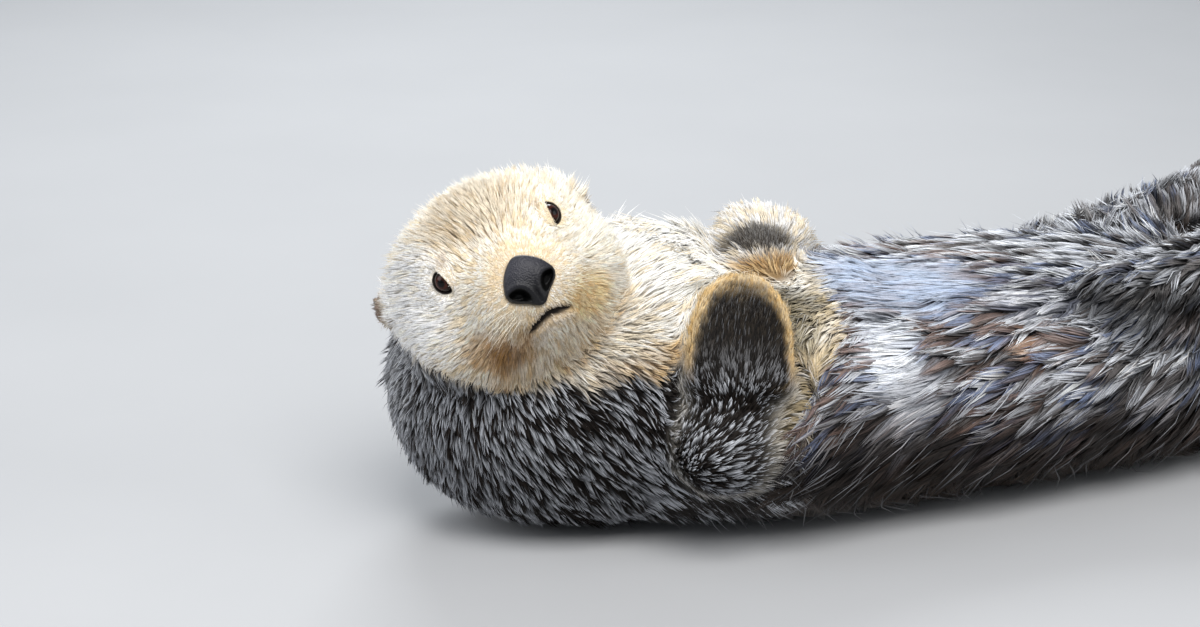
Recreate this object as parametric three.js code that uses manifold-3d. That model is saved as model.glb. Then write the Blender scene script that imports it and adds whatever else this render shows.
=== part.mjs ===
// A sea otter at rest on its back, life size: belly up, both forepaws folded over the chest, head raised and
// turned to look over its own right side, hind feet lifted, tail laid out flat.
// Millimetres, +Z up. In the working frame X runs from the head to the tail, Y to the animal's own left, and the
// back lies on z = 0. The finished group is shifted so that its origin is the bottom centre of its box.
import * as THREE from "three";
import { mergeVertices } from "three/addons/utils/BufferGeometryUtils.js";
import Module from "manifold-3d";

const wasm = await Module();
wasm.setup();

// ---------------------------------------------------------------- driving dimensions

const GAP = 0.3; // clearance between neighbouring pieces
const FLOOR = 0; // everything below this level is cut flat, so that the animal rests on its back

// The head's place, and the way it looks: it faces LOOK_AZIMUTH degrees round from its own right side towards the
// tail, LOOK_UP degrees above level, with the crown rolled ROLL degrees towards the nape and TURN degrees of yaw.
const HEAD_AT = new THREE.Vector3(2, 8, 222);
const LOOK_AZIMUTH = -24;
const LOOK_UP = 18;
const ROLL = 33;
const TURN = 8;
const SAG = 4; // how far the loose skin of the head hangs to its lower, right side

const EYE_RADIUS = 9.5;
const EYE_SPREAD = 48; // from the head's middle plane to each eye
const EYE_SUNK = 3.5; // how far the middle of the eyeball lies under the coat's outline
const EYE_SPLAY = 48; // how far each eye looks to its own side, degrees
const EAR_LENGTH = 30;
const EAR_WIDTH = 22;
const EAR_THICKNESS = 7;
const EAR_AT = new THREE.Vector3(83, 20, 11); // left ear
const NOSE_WIDTH = 41;
const NOSE_HEIGHT = 40;
const NOSE_AT = new THREE.Vector3(0, -104, -35);

// Where the neck meets the chest, the chest the belly, and the belly the hips.
const CHEST_START = 92;
const BELLY_START = 285;
const HIPS_START = 470;
const TRUNK_END = 712;

// Trunk stations: x, half the width, height of the belly side, height of the back.
const TRUNK = [
  [60, 84, 182, 12],
  [110, 112, 208, 2],
  [165, 136, 204, -3],
  [230, 150, 184, -4],
  [300, 153, 176, -4],
  [370, 154, 174, -4],
  [450, 155, 172, -4],
  [530, 150, 168, -4],
  [600, 132, 156, -4],
  [660, 98, 130, -3],
  [712, 52, 88, 2],
];
const TRUNK_SQUARENESS = 2.25; // 2 is an ellipse, more is boxier

const TAIL_START = 690;
const TAIL_END = 1000;
const TAIL_SPLIT = 850;
const TAIL_HALF_WIDTH = [60, 26]; // at the root and near the tip
const TAIL_HALF_DEPTH = [44, 14];
const TAIL_SWAY = 26; // how far the tail swings to the animal's right

// ---------------------------------------------------------------- small helpers

const v = (x, y, z) => new THREE.Vector3(x, y, z);
const up = v(0, 0, 1);
const lerp = THREE.MathUtils.lerp;
const radians = THREE.MathUtils.degToRad;
const smooth = (t) => THREE.MathUtils.smoothstep(t, 0, 1);
const mirror = (p) => v(-p.x, p.y, p.z);

// A smooth curve through the rows of a table, read at x: the values of its other columns.
function readTable(table, x) {
  const last = table.length - 1;
  let i = table.findIndex((row) => row[0] > x);
  if (i < 0) i = last;
  if (i === 0) i = 1;
  const row = (k) => table[Math.min(last, Math.max(0, k))];
  const t = THREE.MathUtils.clamp((x - row(i - 1)[0]) / (row(i)[0] - row(i - 1)[0]), 0, 1);
  return row(i).slice(1).map((_, c) => {
    const [a, b, d, e] = [i - 2, i - 1, i, i + 1].map((k) => row(k)[c + 1]);
    const [slopeB, slopeD] = [(d - a) / 2, (e - b) / 2];
    const [t2, t3] = [t * t, t * t * t];
    return (2 * t3 - 3 * t2 + 1) * b + (t3 - 2 * t2 + t) * slopeB + (3 * t2 - 2 * t3) * d + (t3 - t2) * slopeD;
  });
}

// Rings of points joined into one closed surface. A ring of one point is a pole; an end ring of many is capped flat.
function skin(rings) {
  const points = [];
  const faces = [];
  const starts = rings.map((ring) => {
    points.push(...ring);
    return points.length - ring.length;
  });
  const cap = (ring, start, flip) => {
    const centre = points.length;
    points.push(ring.reduce((sum, p) => sum.add(p), v(0, 0, 0)).divideScalar(ring.length));
    ring.forEach((_, j) => {
      const [a, b] = [start + j, start + ((j + 1) % ring.length)];
      faces.push(flip ? [centre, b, a] : [centre, a, b]);
    });
  };
  rings.slice(1).forEach((ring, k) => {
    const before = rings[k];
    const n = Math.max(ring.length, before.length);
    for (let j = 0; j < n; j++) {
      const a = starts[k] + (j % before.length);
      const b = starts[k] + ((j + 1) % before.length);
      const c = starts[k + 1] + (j % ring.length);
      const d = starts[k + 1] + ((j + 1) % ring.length);
      if (before.length > 1) faces.push([a, c, b]);
      if (ring.length > 1) faces.push([b, c, d]);
    }
  });
  if (rings[0].length > 1) cap(rings[0], starts[0], false);
  if (rings.at(-1).length > 1) cap(rings.at(-1), starts.at(-1), true);
  const geometry = new THREE.BufferGeometry().setFromPoints(points);
  geometry.setIndex(faces.flat());
  return facingOut(geometry);
}

// Turns every face round if the closed surface is inside out.
function facingOut(geometry) {
  const [at, index] = [geometry.getAttribute("position"), geometry.index.array];
  const corner = (i) => v().fromBufferAttribute(at, index[i]);
  let volume = 0;
  for (let i = 0; i < index.length; i += 3) volume += corner(i).dot(corner(i + 1).cross(corner(i + 2)));
  if (volume < 0) {
    for (let i = 0; i < index.length; i += 3) [index[i + 1], index[i + 2]] = [index[i + 2], index[i + 1]];
  }
  return geometry;
}

// A closed geometry as a solid that can be joined and cut.
function solid(geometry) {
  const bare = geometry.index ? geometry.toNonIndexed() : geometry.clone();
  bare.deleteAttribute("normal");
  bare.deleteAttribute("uv");
  const merged = mergeVertices(bare, 1e-3);
  return new wasm.Manifold(
    new wasm.Mesh({
      numProp: 3,
      vertProperties: merged.getAttribute("position").array,
      triVerts: new Uint32Array(merged.index.array),
    }),
  );
}

// A solid's triangles as a geometry.
function geometryOf(made) {
  const mesh = made.getMesh();
  const geometry = new THREE.BufferGeometry();
  geometry.setAttribute("position", new THREE.BufferAttribute(mesh.vertProperties, 3));
  geometry.setIndex(new THREE.BufferAttribute(mesh.triVerts, 1));
  return geometry;
}

const cut = (made, ...tools) => tools.reduce((left, tool) => left.subtract(tool), made);

// The largest piece of what a cut leaves.
const largest = (made) => made.decompose().sort((a, b) => b.volume() - a.volume())[0];

function block(low, high) {
  const size = v().subVectors(high, low);
  const centre = v().addVectors(low, high).divideScalar(2);
  return solid(new THREE.BoxGeometry(size.x, size.y, size.z).translate(centre.x, centre.y, centre.z));
}

// ---------------------------------------------------------------- smooth fields: below 0 inside, about mm outside

// A ball stretched to three radii.
const ellipsoid = (centre, radii) => (p) => {
  const [x, y, z] = [p.x - centre.x, p.y - centre.y, p.z - centre.z];
  const near = Math.hypot(x / radii.x, y / radii.y, z / radii.z);
  const slope = Math.hypot(x / radii.x ** 2, y / radii.y ** 2, z / radii.z ** 2);
  return slope < 1e-9 ? -Math.min(radii.x, radii.y, radii.z) : (near * (near - 1)) / slope;
};

// A straight rod whose radius changes from one end to the other.
const rod = (from, to, r1, r2) => (p) => {
  const along = v().subVectors(to, from);
  const t = THREE.MathUtils.clamp(v().subVectors(p, from).dot(along) / along.lengthSq(), 0, 1);
  return p.distanceTo(v().lerpVectors(from, to, t)) - lerp(r1, r2, t);
};

// Several fields run together, with fillets about `soft` mm wide.
const blend = (soft, fields) => (p) => {
  const near = fields.map((f) => f(p));
  const least = Math.min(...near);
  return least - soft * Math.log(near.reduce((sum, d) => sum + Math.exp((least - d) / soft), 0));
};

// How far a ray runs from inside a field to its surface, at most `reach`.
function rayLength(field, from, direction, reach) {
  let [inside, outside] = [0, reach];
  const at = (r) => field(v().copy(from).addScaledVector(direction, r));
  const step = reach / 24;
  for (let r = step; r <= reach + 1e-6; r += step) {
    if (at(r) > 0) {
      outside = r;
      break;
    }
    inside = r;
  }
  if (inside >= outside - 1e-6) return reach;
  for (let i = 0; i < 22; i++) {
    const middle = (inside + outside) / 2;
    if (at(middle) > 0) outside = middle;
    else inside = middle;
  }
  return inside;
}

// A field seen from one point inside it: rings round `axis`, from its tip to its tail.
function ball(field, centre, { axis, up, rings, segments, reach, grow = 0 }) {
  const side = v().crossVectors(axis, up).normalize();
  const top = v().crossVectors(side, axis).normalize();
  const point = (direction) =>
    v().copy(centre).addScaledVector(direction, rayLength(field, centre, direction, reach) + grow);
  const made = [[point(axis)]];
  for (let i = 1; i < rings; i++) {
    const latitude = (Math.PI * i) / rings;
    made.push(
      Array.from({ length: segments }, (_, j) => {
        const turn = (2 * Math.PI * j) / segments;
        return point(
          v()
            .addScaledVector(axis, Math.cos(latitude))
            .addScaledVector(side, Math.sin(latitude) * Math.cos(turn))
            .addScaledVector(top, Math.sin(latitude) * Math.sin(turn)),
        );
      }),
    );
  }
  made.push([point(v().copy(axis).negate())]);
  return skin(made);
}

// ---------------------------------------------------------------- trunk and neck

const MIDDLE = 0.47; // how high the trunk's widest line runs, as a share of its depth

// The trunk's field: each cross-section is a rounded box between the belly and the back.
function trunkField(p) {
  const [half, top, bottom] = readTable(TRUNK, p.x);
  const middle = lerp(bottom, top, MIDDLE);
  const height = p.z > middle ? top - middle : middle - bottom;
  const share = (a, b) => Math.abs(a / b) ** TRUNK_SQUARENESS;
  const reach = (share(p.y, half) + share(p.z - middle, height)) ** (1 / TRUNK_SQUARENESS);
  const past = Math.max(0, TRUNK[0][0] - p.x);
  return (reach - 1) * Math.min(half, height) + past;
}

// The loose fold of skin that crosses the chest behind the forelegs and slants back over the belly.
const pouchFold = blend(9, [
  rod(v(184, -132, 84), v(236, -100, 128), 26, 24),
  rod(v(236, -100, 128), v(270, -22, 162), 24, 20),
  rod(v(270, -22, 162), v(300, 80, 144), 20, 20),
]);

// The neck rises in a bend from the trunk to the head, with the nape at its lowest.
const neckField = blend(14, [
  ellipsoid(v(52, 6, 92), v(100, 90, 88)),
  ellipsoid(v(16, 36, 112), v(84, 84, 94)),
  ellipsoid(v(30, 36, 160), v(74, 66, 76)),
]);

// The far shoulder, hunched up under the raised forearm.
const shoulderField = ellipsoid(v(146, 62, 158), v(92, 60, 55));

const torsoField = blend(12, [trunkField, pouchFold, neckField, shoulderField]);

const TRUNK_SEGMENTS = 28;

// Cross-sections of the trunk every `step` mm, from x = from to x = to.
function trunkRings(from, to, step, grow = 0) {
  const count = Math.max(1, Math.round((to - from) / step));
  return Array.from({ length: count + 1 }, (_, i) => {
    const x = lerp(from, to, i / count);
    const [, top, bottom] = readTable(TRUNK, x);
    const centre = v(x, 0, lerp(bottom, top, MIDDLE));
    if (i === 0) centre.x -= grow;
    if (i === count) centre.x += grow;
    return Array.from({ length: TRUNK_SEGMENTS }, (_, j) => {
      const turn = (2 * Math.PI * j) / TRUNK_SEGMENTS;
      const direction = v(0, Math.cos(turn), Math.sin(turn));
      return v().copy(centre).addScaledVector(direction, rayLength(torsoField, centre, direction, 260) + grow);
    });
  });
}

const floorBlock = block(v(-600, -600, -400), v(1400, 600, FLOOR));

// The trunk's three lengths; grown, they are what the limbs are cut with.
const trunkSlice = (from, to, step) => (grow) => solid(skin(trunkRings(from, to, step, grow)));
const chestShape = trunkSlice(CHEST_START, BELLY_START - GAP, 21);
const bellyShape = trunkSlice(BELLY_START, HIPS_START - GAP, 37);
const hipsShape = trunkSlice(HIPS_START, TRUNK_END, 27);
const neckShape = (grow) =>
  solid(ball(torsoField, v(40, 6, 104), { axis: v(-1, 0, 0), up, rings: 12, segments: 22, reach: 170, grow }));

const torsoTools = [neckShape, chestShape, bellyShape, hipsShape].map((shape) => shape(2 * GAP));

// ---------------------------------------------------------------- head

// The level direction `azimuth` degrees round from -Y, lifted by `lift` degrees.
const heading = (azimuth, lift) =>
  v(
    Math.sin(radians(azimuth)) * Math.cos(radians(lift)),
    -Math.cos(radians(azimuth)) * Math.cos(radians(lift)),
    Math.sin(radians(lift)),
  );

// The head's frame: +X to its own left, -Y out along the snout, +Z to the crown, the origin between the eyes' level
// and the middle of the skull.
const headMatrix = (() => {
  const back = heading(LOOK_AZIMUTH, LOOK_UP).negate();
  const left = v().crossVectors(back, up).normalize();
  const crown = v().crossVectors(left, back);
  const level = new THREE.Matrix4().makeBasis(left, back, crown);
  const turned = new THREE.Matrix4().makeRotationY(radians(-ROLL));
  turned.multiply(new THREE.Matrix4().makeRotationZ(radians(TURN)));
  return level.multiply(turned).setPosition(HEAD_AT);
})();

const pair = (centre, radii, shift = 0) => [
  ellipsoid(v(centre.x - shift, centre.y, centre.z), radii),
  ellipsoid(v(-centre.x - shift, centre.y, centre.z), radii),
];
const headField = blend(7, [
  ellipsoid(v(-SAG, 16, -6), v(87, 78, 66)), // cranium
  ...pair(v(43, -4, -40), v(46, 52, 46), SAG), // cheeks
  ellipsoid(v(-SAG, -2, -57), v(74, 64, 49)), // throat ruff
  ellipsoid(v(0, -58, -32), v(38, 40, 29)), // snout
  ...pair(v(20, -72, -43), v(25, 24, 20)), // whisker pads
  ellipsoid(v(0, -62, -63), v(28, 26, 19)), // chin
  rod(v(0, -78, -22), v(0, -22, 12), 17, 36), // bridge of the nose
  ...pair(v(32, -34, 16), v(24, 22, 20)), // brows
]);

const headShape = (grow) =>
  solid(
    ball(headField, v(0, -4, -20), {
      axis: v(0, -1, 0),
      up,
      rings: 22,
      segments: 28,
      reach: 130,
      grow,
    }),
  );

// The left eye's middle in the head's frame, found on the face; the right one is its mirror image.
const EYE_AT = (() => {
  const outward = v(Math.sin(radians(EYE_SPLAY)), -Math.cos(radians(EYE_SPLAY)), 0);
  const forward = v(0, -1, 0);
  const from = v(EYE_SPREAD, 0, 0);
  return from.addScaledVector(forward, rayLength(headField, from, forward, 130)).addScaledVector(outward, -EYE_SUNK);
})();

// An eyeball, a small sphere that sits in a socket of the skull.
const eyeShape = (centre, grow = 0) =>
  solid(new THREE.SphereGeometry(EYE_RADIUS + grow, 12, 8).translate(centre.x, centre.y, centre.z));

// The bare nose: a rounded diamond with a flat top, swept forward off the snout.
function noseShape() {
  const [w, h] = [NOSE_WIDTH / 2, NOSE_HEIGHT / 2];
  const outline = new THREE.Shape();
  outline.moveTo(0, -h);
  outline.quadraticCurveTo(w * 0.55, -h * 0.86, w * 0.97, -h * 0.3);
  outline.quadraticCurveTo(w * 1.05, h * 0.1, w * 0.72, h * 0.62);
  outline.quadraticCurveTo(w * 0.4, h, 0, h);
  outline.quadraticCurveTo(-w * 0.4, h, -w * 0.72, h * 0.62);
  outline.quadraticCurveTo(-w * 1.05, h * 0.1, -w * 0.97, -h * 0.3);
  outline.quadraticCurveTo(-w * 0.55, -h * 0.86, 0, -h);
  const depth = 22;
  const bevel = 5;
  const plate = new THREE.ExtrudeGeometry(outline, {
    depth,
    curveSegments: 3,
    bevelThickness: bevel,
    bevelSize: bevel,
    bevelOffset: -bevel,
    bevelSegments: 2,
  });
  plate.rotateX(radians(90)).translate(NOSE_AT.x, NOSE_AT.y + depth, NOSE_AT.z);
  return solid(plate);
}

// An ear: a small thick leaf, cupped forward, that hangs back and down from the side of the head.
function earShape(side) {
  const rings = [];
  const steps = 6;
  for (let i = 0; i <= steps; i++) {
    const t = i / steps;
    const half = (EAR_WIDTH / 2) * Math.sqrt(Math.max(0, 1 - (t * 1.02 - 0.3) ** 2 / 0.52));
    const thick = (EAR_THICKNESS / 2) * lerp(1, 0.6, t);
    rings.push(
      Array.from({ length: 10 }, (_, j) => {
        const turn = (2 * Math.PI * j) / 10;
        const across = half * Math.cos(turn);
        const cup = (5 * across * across) / (EAR_WIDTH / 2) ** 2;
        return v(thick * Math.sin(turn) + cup, across, -EAR_LENGTH * t + EAR_LENGTH * 0.35);
      }),
    );
  }
  const leaf = skin(rings);
  leaf.rotateY(radians(-28)).rotateZ(radians(-24)).translate(EAR_AT.x, EAR_AT.y, EAR_AT.z).scale(side, 1, 1);
  leaf.translate(-SAG, 0, 0);
  return solid(facingOut(leaf));
}

const earLeftWhole = earShape(1);
const earRightWhole = earShape(-1);
const headWhole = headShape(0);
const headTool = headShape(GAP);
const head = cut(headWhole, eyeShape(EYE_AT, GAP), eyeShape(mirror(EYE_AT), GAP));
const nose = largest(cut(noseShape(), headTool));
const earLeft = largest(cut(earLeftWhole, headTool));
const earRight = largest(cut(earRightWhole, headTool));

// The grown head in the body's frame, which the neck is cut with.
function placed(made, matrix) {
  return solid(geometryOf(made).applyMatrix4(matrix));
}
const headCutter = placed(headTool, headMatrix);
const earCutters = [earLeftWhole, earRightWhole].map((ear) => placed(ear, headMatrix));

const neck = largest(
  cut(neckShape(0), headCutter, ...earCutters, floorBlock, block(v(CHEST_START - GAP, -400, -100), v(700, 400, 600))),
);
const chest = largest(cut(chestShape(0), headCutter, ...earCutters, floorBlock));
const belly = cut(bellyShape(0), floorBlock);
const hips = cut(hipsShape(0), floorBlock);

// ---------------------------------------------------------------- limbs

// A rod with round ends, flattened across `flat`: the solid form of one length of a limb.
function limb(from, to, r1, r2, { flat = v(0, 0, 1), squash = 1, segments = 14, rings = 3, grow = 0 } = {}) {
  const axis = v().subVectors(to, from);
  const length = axis.length();
  axis.normalize();
  const side = v().crossVectors(axis, flat).normalize();
  const thin = v().crossVectors(side, axis).normalize();
  const made = [];
  const ring = (along, radius) =>
    Array.from({ length: segments }, (_, j) => {
      const turn = (2 * Math.PI * j) / segments;
      return v()
        .copy(from)
        .addScaledVector(axis, along)
        .addScaledVector(side, (radius + grow) * Math.cos(turn))
        .addScaledVector(thin, (radius * squash + grow) * Math.sin(turn));
    });
  const ends = 3;
  made.push([v().copy(from).addScaledVector(axis, -r1 - grow)]);
  for (let i = 1; i < ends; i++) {
    const a = (Math.PI / 2) * (i / ends);
    made.push(ring(-(r1 + grow) * Math.cos(a), r1 * Math.sin(a)));
  }
  for (let i = 0; i <= rings; i++) made.push(ring((length * i) / rings, lerp(r1, r2, smooth(i / rings))));
  for (let i = ends - 1; i > 0; i--) {
    const a = (Math.PI / 2) * (i / ends);
    made.push(ring(length + (r2 + grow) * Math.cos(a), r2 * Math.sin(a)));
  }
  made.push([v().copy(to).addScaledVector(axis, r2 + grow)]);
  return solid(skin(made));
}

// A furred, webbed foot: it starts as a wrist or ankle of half-width `root` and spreads to half-width `spread`,
// with `digits` ridges that end in rounded toes. `flat` is the way its sole faces, and `curl` bends it that way.
// It rounds off from `dome` of its length on, and narrows there by `taper`.
function foot({ from, to, flat, root, spread, thick, thin, digits, groove, notch, curl, dome, taper, longest = 0 }) {
  const axis = v().subVectors(to, from);
  const length = axis.length();
  axis.normalize();
  const side = v().crossVectors(axis, flat).normalize();
  const sole = v().crossVectors(side, axis).normalize();
  const [segments, steps] = [digits * 4, 8];
  const point = (t, turn) => {
    const across = Math.cos(turn);
    const near = Math.sign(across) * Math.abs(across) ** 0.85;
    const toe = Math.abs(Math.cos((digits * Math.PI * (near + 1)) / 2 + Math.PI / 2));
    const reach = 1 - 0.1 * (near - longest) ** 2 - notch * (1 - toe) * smooth((t - 0.5) * 2);
    const half = lerp(root, spread, smooth(t * 1.15));
    const round = Math.sqrt(Math.max(0, 1 - Math.max(0, (t - dome) / (1 - dome)) ** 2));
    const ridge = 1 - groove * (1 - toe) * smooth((t - 0.2) * 2);
    const deep = lerp(thick, thin, smooth(t)) * ridge * round;
    const bend = curl * t * t;
    return v()
      .copy(from)
      .addScaledVector(axis, length * t * reach * Math.cos(bend * 0.5))
      .addScaledVector(sole, length * t * Math.sin(bend * 0.5))
      .addScaledVector(side, near * half * (1 - taper * (1 - round)))
      .addScaledVector(sole, deep * Math.sign(Math.sin(turn)) * Math.abs(Math.sin(turn)) ** 0.8);
  };
  const rings = [];
  for (let i = 0; i <= steps; i++) {
    const t = Math.min(0.985, i / steps);
    rings.push(Array.from({ length: segments }, (_, j) => point(t, (2 * Math.PI * (j + 0.5)) / segments)));
  }
  return solid(skin(rings));
}

// One foreleg: upper arm against the ribs, forearm folded up over the chest, and a mitten of a paw.
const FORELEGS = {
  right: {
    shoulder: v(176, -92, 92),
    elbow: v(134, -121, 92),
    wrist: v(151, -116, 160),
    tip: v(167, -90, 225),
    sole: v(0.39, 0.87, -0.31),
    curl: 0.5,
    taper: 0.6,
  },
  left: {
    shoulder: v(176, 92, 92),
    elbow: v(204, 128, 120),
    wrist: v(246, 42, 188),
    tip: v(190, -47, 198),
    sole: v(0, 0.2, -1),
    curl: 0.3,
    taper: 0.35,
  },
};

function foreleg({ shoulder, elbow, wrist, tip, sole, curl, taper }) {
  const upper = (grow) => limb(shoulder, elbow, 48, 41, { grow });
  const fore = (grow) => limb(elbow, v().lerpVectors(elbow, wrist, 0.8), 41, 32, { grow, flat: sole, squash: 0.85 });
  const paw = foot({
    from: v().lerpVectors(wrist, tip, -0.42),
    to: tip,
    flat: sole,
    root: 42,
    spread: 36,
    thick: 30,
    thin: 16,
    digits: 5,
    groove: 0.06,
    notch: 0.03,
    dome: 0.5,
    taper,
    curl,
  });
  return {
    upper: largest(cut(upper(0), ...torsoTools, headCutter, floorBlock)),
    fore: largest(cut(fore(0), ...torsoTools, headCutter, upper(GAP), floorBlock)),
    paw: largest(cut(paw, ...torsoTools, headCutter, upper(GAP), fore(GAP), floorBlock)),
  };
}

// One hind leg: the thigh lies along the flank with the knee forward, the shank folds back over it, and the long
// webbed foot is held clear of the ground.
const HINDLEGS = {
  right: {
    hip: v(610, -72, 100),
    knee: v(500, -98, 142),
    ankle: v(612, -112, 186),
    toes: v(806, -158, 232),
    sole: v(-0.35, 0.15, 1),
    longest: 0.7,
  },
  left: {
    hip: v(620, 72, 98),
    knee: v(560, 104, 112),
    ankle: v(700, 112, 152),
    toes: v(888, 150, 196),
    sole: v(-0.35, -0.15, 1),
    longest: -0.7,
  },
};

function hindleg({ hip, knee, ankle, toes, sole, longest }) {
  const thigh = (grow) => limb(hip, knee, 66, 44, { grow, segments: 16 });
  const shank = (grow) => limb(knee, ankle, 40, 28, { grow });
  const flipper = foot({
    from: v().lerpVectors(ankle, toes, -0.06),
    to: toes,
    flat: sole,
    root: 27,
    spread: 56,
    thick: 21,
    thin: 8,
    digits: 5,
    groove: 0.4,
    notch: 0.08,
    dome: 0.75,
    taper: 0.12,
    curl: 0.3,
    longest,
  });
  return {
    thigh: largest(cut(thigh(0), ...torsoTools, floorBlock)),
    shank: largest(cut(shank(0), ...torsoTools, thigh(GAP), floorBlock)),
    flipper: largest(cut(flipper, ...torsoTools, thigh(GAP), shank(GAP), floorBlock)),
  };
}

// ---------------------------------------------------------------- tail

// The tail is broad and flat and lies on the ground, ending in a blunt tip.
function tailRings(from, to, step) {
  const count = Math.round((to - from) / step);
  const made = [];
  for (let i = 0; i <= count; i++) {
    const x = lerp(from, to, i / count);
    const t = (x - TAIL_START) / (TAIL_END - TAIL_START);
    const end = Math.sqrt(Math.max(0, 1 - Math.max(0, (t - 0.78) / 0.22) ** 2));
    const half = lerp(TAIL_HALF_WIDTH[0], TAIL_HALF_WIDTH[1], smooth(t)) * end;
    const thick = lerp(TAIL_HALF_DEPTH[0], TAIL_HALF_DEPTH[1], smooth(t * 1.1)) * end;
    const sway = -TAIL_SWAY * Math.sin(t * 2.4);
    const segments = end > 0 ? 16 : 1;
    made.push(
      Array.from({ length: segments }, (_, j) => {
        const turn = (2 * Math.PI * j) / segments;
        return v(x, sway + half * Math.cos(turn), Math.max(thick - 2, 3) + thick * Math.sin(turn));
      }),
    );
  }
  return made;
}
const tailBase = largest(cut(solid(skin(tailRings(TAIL_START, TAIL_SPLIT - GAP, 27))), ...torsoTools, floorBlock));
const tailTip = largest(cut(solid(skin(tailRings(TAIL_SPLIT, TAIL_END, 15))), floorBlock));

// ---------------------------------------------------------------- materials and assembly

const finish = (color, roughness) => new THREE.MeshStandardMaterial({ color, roughness, metalness: 0 });
const creamFur = finish(0xe6dcc4, 0.9);
const chestFur = finish(0xd9cdb0, 0.9);
const silverFur = finish(0x8d8781, 0.7);
const darkFur = finish(0x4a4038, 0.85);
const footFur = finish(0x38312c, 0.8);
const earSkin = finish(0x6e5448, 0.7);
const noseSkin = finish(0x24252a, 0.5);
const eyeSurface = finish(0x1c110c, 0.08);

const root = new THREE.Group();
const body = new THREE.Group();
const headGroup = new THREE.Group();
headGroup.applyMatrix4(headMatrix);
body.add(headGroup);
root.add(body);

function add(parent, name, made, material) {
  const mesh = new THREE.Mesh(geometryOf(made), material);
  mesh.name = name;
  parent.add(mesh);
}

add(headGroup, "head", head, creamFur);
add(headGroup, "nose", nose, noseSkin);
add(headGroup, "eye_left", eyeShape(EYE_AT), eyeSurface);
add(headGroup, "eye_right", eyeShape(mirror(EYE_AT)), eyeSurface);
add(headGroup, "ear_left", earLeft, earSkin);
add(headGroup, "ear_right", earRight, earSkin);
add(body, "neck", neck, creamFur);
add(body, "chest", chest, chestFur);
add(body, "belly", belly, silverFur);
add(body, "hips", hips, silverFur);
add(body, "tail_base", tailBase, darkFur);
add(body, "tail_tip", tailTip, darkFur);

const pawTools = [];
for (const [side, places] of Object.entries(FORELEGS)) {
  const leg = foreleg(places);
  add(body, `upper_arm_${side}`, leg.upper, darkFur);
  add(body, `forearm_${side}`, leg.fore, darkFur);
  add(body, `forepaw_${side}`, largest(cut(leg.paw, ...pawTools)), darkFur);
  pawTools.push(leg.paw, leg.fore);
}
for (const [side, places] of Object.entries(HINDLEGS)) {
  const leg = hindleg(places);
  add(body, `thigh_${side}`, leg.thigh, silverFur);
  add(body, `shank_${side}`, leg.shank, silverFur);
  add(body, `hind_foot_${side}`, leg.flipper, footFur);
}

const box = new THREE.Box3().setFromObject(root, true);
body.position.set(-(box.min.x + box.max.x) / 2, -(box.min.y + box.max.y) / 2, -box.min.z);

export default root;
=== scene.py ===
"""A sea otter at rest on its back: one skin with a sculpted face, and a coat of mesh tufts along its lie.

All shapes are worked out in millimetres in the otter's own axes: X from the head to the tail, Y to its own
left, Z up, with the back on z = 0. They are shifted into the frame when a mesh is made. The face has axes of
its own, with the origin midway between the eyes: X to the otter's left, -Y out along the snout, and Z to the
crown. Colours are given as 0 to 255.
"""

import itertools
import math

import bmesh
import bpy
import numpy as np
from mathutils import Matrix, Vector
from mathutils.bvhtree import BVHTree
from mathutils.kdtree import KDTree


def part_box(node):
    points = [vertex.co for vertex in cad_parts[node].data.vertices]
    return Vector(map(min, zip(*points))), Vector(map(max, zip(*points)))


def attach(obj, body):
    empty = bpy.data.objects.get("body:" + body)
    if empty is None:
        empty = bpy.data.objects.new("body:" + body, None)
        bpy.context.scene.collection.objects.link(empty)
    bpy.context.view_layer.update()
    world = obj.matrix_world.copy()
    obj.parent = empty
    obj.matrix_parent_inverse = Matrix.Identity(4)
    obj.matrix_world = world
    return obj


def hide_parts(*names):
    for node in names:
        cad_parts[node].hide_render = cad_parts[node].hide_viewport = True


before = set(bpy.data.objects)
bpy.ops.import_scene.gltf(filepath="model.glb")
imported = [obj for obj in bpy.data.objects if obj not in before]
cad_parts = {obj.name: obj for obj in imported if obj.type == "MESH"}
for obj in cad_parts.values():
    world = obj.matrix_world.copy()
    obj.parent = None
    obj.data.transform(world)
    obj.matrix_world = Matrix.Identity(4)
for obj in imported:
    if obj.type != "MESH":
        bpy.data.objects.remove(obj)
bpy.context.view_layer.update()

MM = 0.001
RNG = np.random.default_rng(7)

# ---------------------------------------------------------------- the otter's plan, as the CAD has it

HEAD_AT = (2, 8, 222)
LOOK_AZIMUTH = -24  # degrees round from the otter's right side towards its tail
LOOK_UP = 18
ROLL = 33  # how far the left eye is raised above the right one, degrees
TURN = 8  # how far the face then turns to its own left
EYES_AHEAD = 50.7  # from the middle of the skull forward to the level of the eyes

# Shoulder, elbow, wrist, finger tips; hip, knee, ankle, toes.
FORELEGS = {
    "right": [(176, -92, 92), (134, -121, 92), (151, -116, 160), (167, -90, 225)],
    "left": [(176, 92, 92), (204, 128, 120), (246, 42, 188), (190, -47, 198)],
}
HINDLEGS = {
    "right": [(610, -72, 100), (500, -98, 142), (612, -112, 186), (806, -158, 232)],
    "left": [(620, 72, 98), (560, 104, 112), (700, 112, 152), (888, 150, 196)],
}
PAW_SOLE = (0.39, 0.87, -0.31)  # the way the right palm faces
FOOT_SOLES = {"right": (-0.35, 0.15, 1), "left": (-0.35, -0.15, 1)}
FOOT_HALF = 56  # half the width of a hind foot at the toes
TOE_GAP = 0.4  # from one toe to the next, as a share of that

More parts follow.
